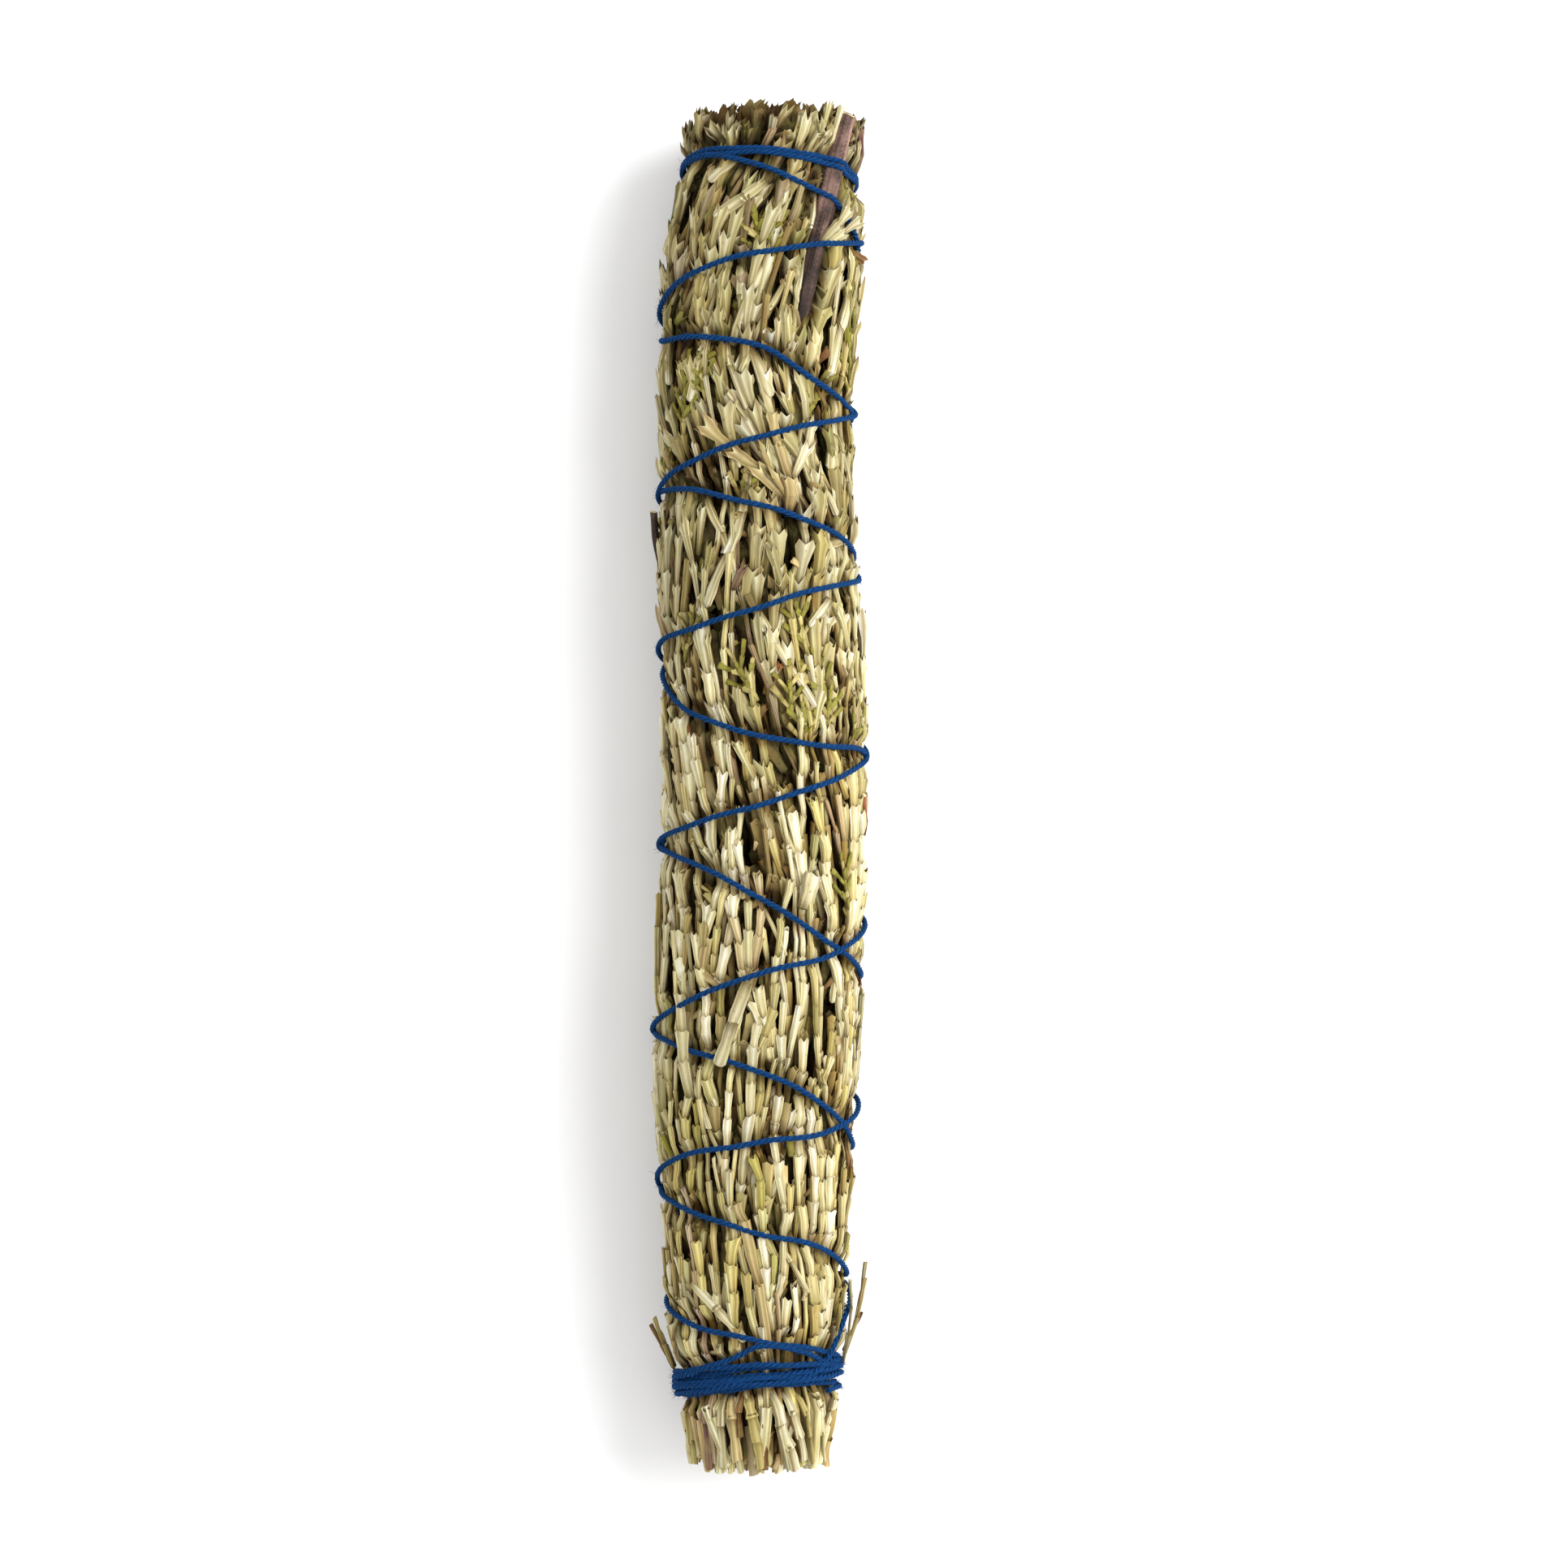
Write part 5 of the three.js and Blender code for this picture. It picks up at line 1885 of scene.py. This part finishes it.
class NodeTree:
    """A material's nodes, added one at a time and linked by name."""

    def __init__(self, name: str) -> None:
        """Start an empty material with its output and its surface shader."""
        self.material = bpy.data.materials.new(name)
        self.material.use_nodes = True
        self.tree = self.material.node_tree
        self.shader = self.tree.nodes["Principled BSDF"]

    def feed(self, node: bpy.types.Node, socket: str | int, value: object) -> None:
        """Link a socket into a node's input, or set the input's value."""
        if isinstance(value, Socket):
            self.tree.links.new(value, node.inputs[socket])
        else:
            node.inputs[socket].default_value = value

    def add(self, kind: str, **inputs: object) -> bpy.types.Node:
        """Add a node.

        Args:
            kind: its type's name.
            inputs: settings of the node itself, or values and links for its sockets, by socket name.

        Returns:
            The node.
        """
        node = self.tree.nodes.new(kind)
        for key, value in inputs.items():
            if hasattr(node, key) and key.islower():
                setattr(node, key, value)
            else:
                self.feed(node, key.replace("_", " "), value)
        return node

    def tone(self) -> Socket:
        """The colour that a piece has at each of its points."""
        return self.add("ShaderNodeAttribute", attribute_name="tone").outputs["Color"]

    def noise(self, scale: float, detail: float) -> bpy.types.Node:
        """Add noise in the object's own space."""
        here = self.add("ShaderNodeTexCoord").outputs["Object"]
        return self.add("ShaderNodeTexNoise", Vector=here, Scale=scale, Detail=detail)

    def streaks(self, stretch: Triple, **inputs: float) -> bpy.types.Node:
        """Add noise that runs along a piece.

        Args:
            stretch: how fine it is across the piece and along it.
            inputs: the noise's other values.

        Returns:
            The noise node.
        """
        place = self.add("ShaderNodeUVMap", uv_map="along").outputs["UV"]
        across = self.add("ShaderNodeMapping", Vector=place, Scale=stretch).outputs["Vector"]
        return self.add("ShaderNodeTexNoise", Vector=across, Scale=1.0, **inputs)

    def ramp(self, source: Socket, stops: Pairs) -> Socket:
        """Map a number through grey stops.

        Args:
            source: the number.
            stops: places and grey values.

        Returns:
            The mapped grey.
        """
        node = self.add("ShaderNodeValToRGB", Fac=source)
        while len(node.color_ramp.elements) < len(stops):
            node.color_ramp.elements.new(0.5)
        for element, (place, grey) in zip(node.color_ramp.elements, stops):
            element.position = place
            element.color = (grey, grey, grey, 1.0)
        return node.outputs["Color"]

    def mix(self, kind: str, share: object, a: object, b: object) -> Socket:
        """Mix two colours.

        Args:
            kind: the blend, such as MIX or MULTIPLY.
            share: a number or a socket.
            a: the first colour, or its socket.
            b: the second colour, or its socket.

        Returns:
            The mixed colour.
        """
        node = self.add("ShaderNodeMix", data_type="RGBA", blend_type=kind)
        for socket, value in ((0, share), (6, a), (7, b)):
            self.feed(node, socket, value)
        return node.outputs[2]

    def finish(
        self, colour: Socket, height: Socket, strength: float, distance: float, **surface: object
    ) -> bpy.types.Material:
        """Join everything to the surface shader.

        Args:
            colour: the surface's colour.
            height: what the bump follows.
            strength: how much of the bump counts.
            distance: the bump's height in metres.
            surface: values and links for the shader's other sockets, by socket name.

        Returns:
            The material.
        """
        bump = self.add("ShaderNodeBump", Height=height, Strength=strength, Distance=distance)
        self.feed(self.shader, "Base Color", colour)
        self.feed(self.shader, "Normal", bump.outputs["Normal"])
        for key, value in surface.items():
            self.feed(self.shader, key.replace("_", " "), value)
        return self.material


def opaque(red: float, green: float, blue: float) -> Floats:
    """A screen colour as the four linear values that a socket takes."""
    return (*linear(red, green, blue), 1.0)


@dataclass(frozen=True)
class LeafFinish:
    """Dried scale leaf: streaks along each joint, small specks and a dull waxy face."""

    name: str = "dried_cedar_leaf"
    roughness: float = 0.66
    specular: float = 0.09
    streak_depth: float = 0.00016
    patch_colour: Triple = (150, 142, 84)
    speck_colour: Triple = (150, 120, 80)

    def build(self) -> bpy.types.Material:
        """Make the material.

        Returns:
            The new material.
        """
        tree = NodeTree(self.name)
        streaks = tree.streaks((13.0, 1.5, 1.0), Detail=4.0, Roughness=0.6)
        streak = streaks.outputs["Fac"]
        specks = tree.noise(1900.0, 2.0)
        streak_grey = tree.ramp(streak, ((0.25, 0.68), (0.5, 1.0), (0.75, 1.06)))
        colour = tree.mix("MULTIPLY", 0.85, tree.tone(), streak_grey)
        patch_share = tree.ramp(tree.noise(260.0, 3.0).outputs["Fac"], ((0.42, 0.0), (0.7, 0.34)))
        colour = tree.mix("MIX", patch_share, colour, opaque(*self.patch_colour))
        speck_share = tree.ramp(specks.outputs["Fac"], ((0.66, 0.0), (0.76, 0.5)))
        colour = tree.mix("MULTIPLY", speck_share, colour, opaque(*self.speck_colour))
        rough = tree.ramp(streak, ((0.3, self.roughness - 0.12), (0.7, self.roughness + 0.14)))
        grain = tree.mix("ADD", 0.25, streaks.outputs["Color"], specks.outputs["Color"])
        return tree.finish(
            colour, grain, 0.55, self.streak_depth, Roughness=rough, Specular_IOR_Level=self.specular
        )


@dataclass(frozen=True)
class BarkFinish:
    """Bark and wood: long dark furrows and worn patches over the twig's own colour."""

    name: str
    roughness: float = 0.75
    specular: float = 0.25
    furrow_depth: float = 0.0003

    def build(self) -> bpy.types.Material:
        """Make the material.

        Returns:
            The new material.
        """
        tree = NodeTree(self.name)
        furrows = tree.streaks((9.0, 0.6, 1.0), Detail=6.0, Roughness=0.75, Distortion=0.8).outputs["Fac"]
        grey = tree.ramp(furrows, ((0.34, 0.25), (0.5, 0.9), (0.66, 1.8)))
        colour = tree.mix("MULTIPLY", 0.95, tree.tone(), grey)
        worn = tree.ramp(tree.noise(330.0, 4.0).outputs["Fac"], ((0.36, 0.5), (0.5, 0.95), (0.64, 1.7)))
        colour = tree.mix("MULTIPLY", 0.9, colour, worn)
        return tree.finish(
            colour, furrows, 0.6, self.furrow_depth,
            Roughness=self.roughness, Specular_IOR_Level=self.specular,
        )


@dataclass(frozen=True)
class CottonFinish:
    """Matt dyed cotton: fine fibres along each ply, light where they are worn."""

    name: str = "blue_cotton_thread"
    roughness: float = 0.9
    specular: float = 0.08
    sheen: float = 0.12
    sheen_tint: Floats = (0.1, 0.35, 0.8, 1.0)
    fibre_depth: float = 0.00012

    def build(self) -> bpy.types.Material:
        """Make the material.

        Returns:
            The new material.
        """
        tree = NodeTree(self.name)
        fibres = tree.streaks((22.0, 1.3, 1.0), Detail=4.0, Roughness=0.7).outputs["Fac"]
        grey = tree.ramp(fibres, ((0.3, 0.45), (0.52, 1.05), (0.7, 2.6)))
        colour = tree.mix("MULTIPLY", 0.9, tree.tone(), grey)
        return tree.finish(
            colour, fibres, 0.7, self.fibre_depth,
            Roughness=self.roughness, Specular_IOR_Level=self.specular,
            Sheen_Weight=self.sheen, Sheen_Tint=self.sheen_tint,
        )


@dataclass(frozen=True)
class WoodFinish:
    """The bare main stem: pale wood with fine grain along the stick."""

    name: str = "cedar_stem_wood"
    grain_scale: Triple = (1600.0, 90.0, 1600.0)
    dark: Triple = (112, 84, 52)
    pale: Triple = (178, 146, 98)
    roughness: float = 0.8
    grain_depth: float = 0.0002

    def build(self) -> bpy.types.Material:
        """Make the material.

        Returns:
            The new material.
        """
        tree = NodeTree(self.name)
        here = tree.add("ShaderNodeTexCoord").outputs["Object"]
        along = tree.add("ShaderNodeMapping", Vector=here, Scale=self.grain_scale).outputs["Vector"]
        grain = tree.add("ShaderNodeTexNoise", Vector=along, Scale=1.0, Detail=4.0).outputs["Fac"]
        share = tree.ramp(grain, ((0.35, 0.0), (0.65, 1.0)))
        colour = tree.mix("MIX", share, opaque(*self.dark), opaque(*self.pale))
        return tree.finish(colour, grain, 0.5, self.grain_depth, Roughness=self.roughness)


@dataclass(frozen=True)
class Studio:
    """The pale floor, the soft lights and the camera that looks down at the stick."""

    eye: Triple = (3.93, 0.2, 665.2)
    frame_width: float = 257.6
    frame_distance: float = 650.0
    floor_size: float = 6.0
    floor_height: float = -2e-5
    paper: Floats = (0.9, 0.9, 0.905, 1.0)
    paper_roughness: float = 0.9
    key_place: Triple = (0.62, 0.22, 0.62)
    key_energy: float = 9.8
    key_size: float = 0.7
    sky: Floats = (1.0, 1.0, 1.0, 1.0)
    fill_strength: float = 1.06

    def floor(self) -> None:
        """Make the floor, a flat square just under the stick."""
        half = self.floor_size / 2.0
        mesh = bpy.data.meshes.new("floor")
        across = ((-half, -half), (half, -half), (half, half), (-half, half))
        corners = [(x, y, self.floor_height) for x, y in across]
        mesh.from_pydata(corners, [], [(0, 1, 2, 3)])
        made = add_object("floor", mesh)
        tree = NodeTree("pale_paper")
        tree.feed(tree.shader, "Base Color", self.paper)
        tree.feed(tree.shader, "Roughness", self.paper_roughness)
        mesh.materials.append(tree.material)

    def light(self) -> None:
        """Set a broad light from the upper right and an even pale sky."""
        data = bpy.data.lights.new("key", "AREA")
        data.shape = "DISK"
        data.size = self.key_size
        data.energy = self.key_energy
        key = add_object("key", data)
        key.location = self.key_place
        key.rotation_euler = lamp_rotation(-np.array(key.location))
        world = bpy.data.worlds.new("sky")
        world.use_nodes = True
        background = world.node_tree.nodes["Background"]
        background.inputs["Color"].default_value = self.sky
        background.inputs["Strength"].default_value = self.fill_strength
        bpy.context.scene.world = world

    def camera(self) -> None:
        """Put the camera over the stick, looking straight down, with the tip at the top."""
        data = bpy.data.cameras.new("camera")
        data.sensor_fit = "HORIZONTAL"
        data.angle = 2.0 * math.atan(self.frame_width / 2.0 / self.frame_distance)
        data.clip_start = 0.01
        made = add_object("camera", data)
        made.location = [value * METRES for value in self.eye]
        bpy.context.scene.camera = made
        bpy.context.scene.view_settings.view_transform = "Standard"


def lamp_rotation(direction: Array) -> Triple:
    """The Euler angles that point a lamp's own -Z along a direction."""
    x, y, z = unit(np.asarray(direction, float))
    return (math.acos(-z), 0.0, math.atan2(y, x) - math.pi / 2.0)


TWIGS = (
    Twig("bark_twig", BARK_RUN, (126, 97, 86), "bark", sides=32, buried_painted_shade=0.9),
    Twig("dark_twig", DARK_RUN, (74, 58, 48), "bark"),
    Twig("red_twig", RED_RUN, (132, 74, 56), "red_bark"),
)


def main() -> None:
    """Build every piece in order and note each in the log."""
    logging.basicConfig(level=logging.INFO, format="%(message)s")
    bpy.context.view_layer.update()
    studio = Studio()
    studio.camera()
    studio.floor()
    studio.light()
    leaf = LeafFinish().build()
    bark = BarkFinish("cedar_bark").build()
    cotton = CottonFinish().build()
    wood = WoodFinish().build()
    pieces = [(Sprig(number).build(), leaf) for number in range(Sprig.sprigs)]
    pieces += [(InnerSprig(number).build(), leaf) for number in range(InnerSprig.sprigs)]
    pieces += [(twig.build(TWIG_SEED + n), bark) for n, twig in enumerate(TWIGS)]
    thread = Thread()
    pieces.append((thread.build(), cotton))
    pieces.append((ThreadFuzz().build(thread), cotton))
    total = 0
    for made, material in pieces:
        made.data.materials.append(material)
        triangles = len(made.data.loops) - 2 * len(made.data.polygons)
        total += triangles
        LOG.info("%s: %d triangles", made.name, triangles)
    LOG.info("all pieces: %d triangles", total)
    main_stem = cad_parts["main_stem"]
    main_stem.data.materials.clear()
    main_stem.data.materials.append(wood)


if __name__ == "__main__":
    main()
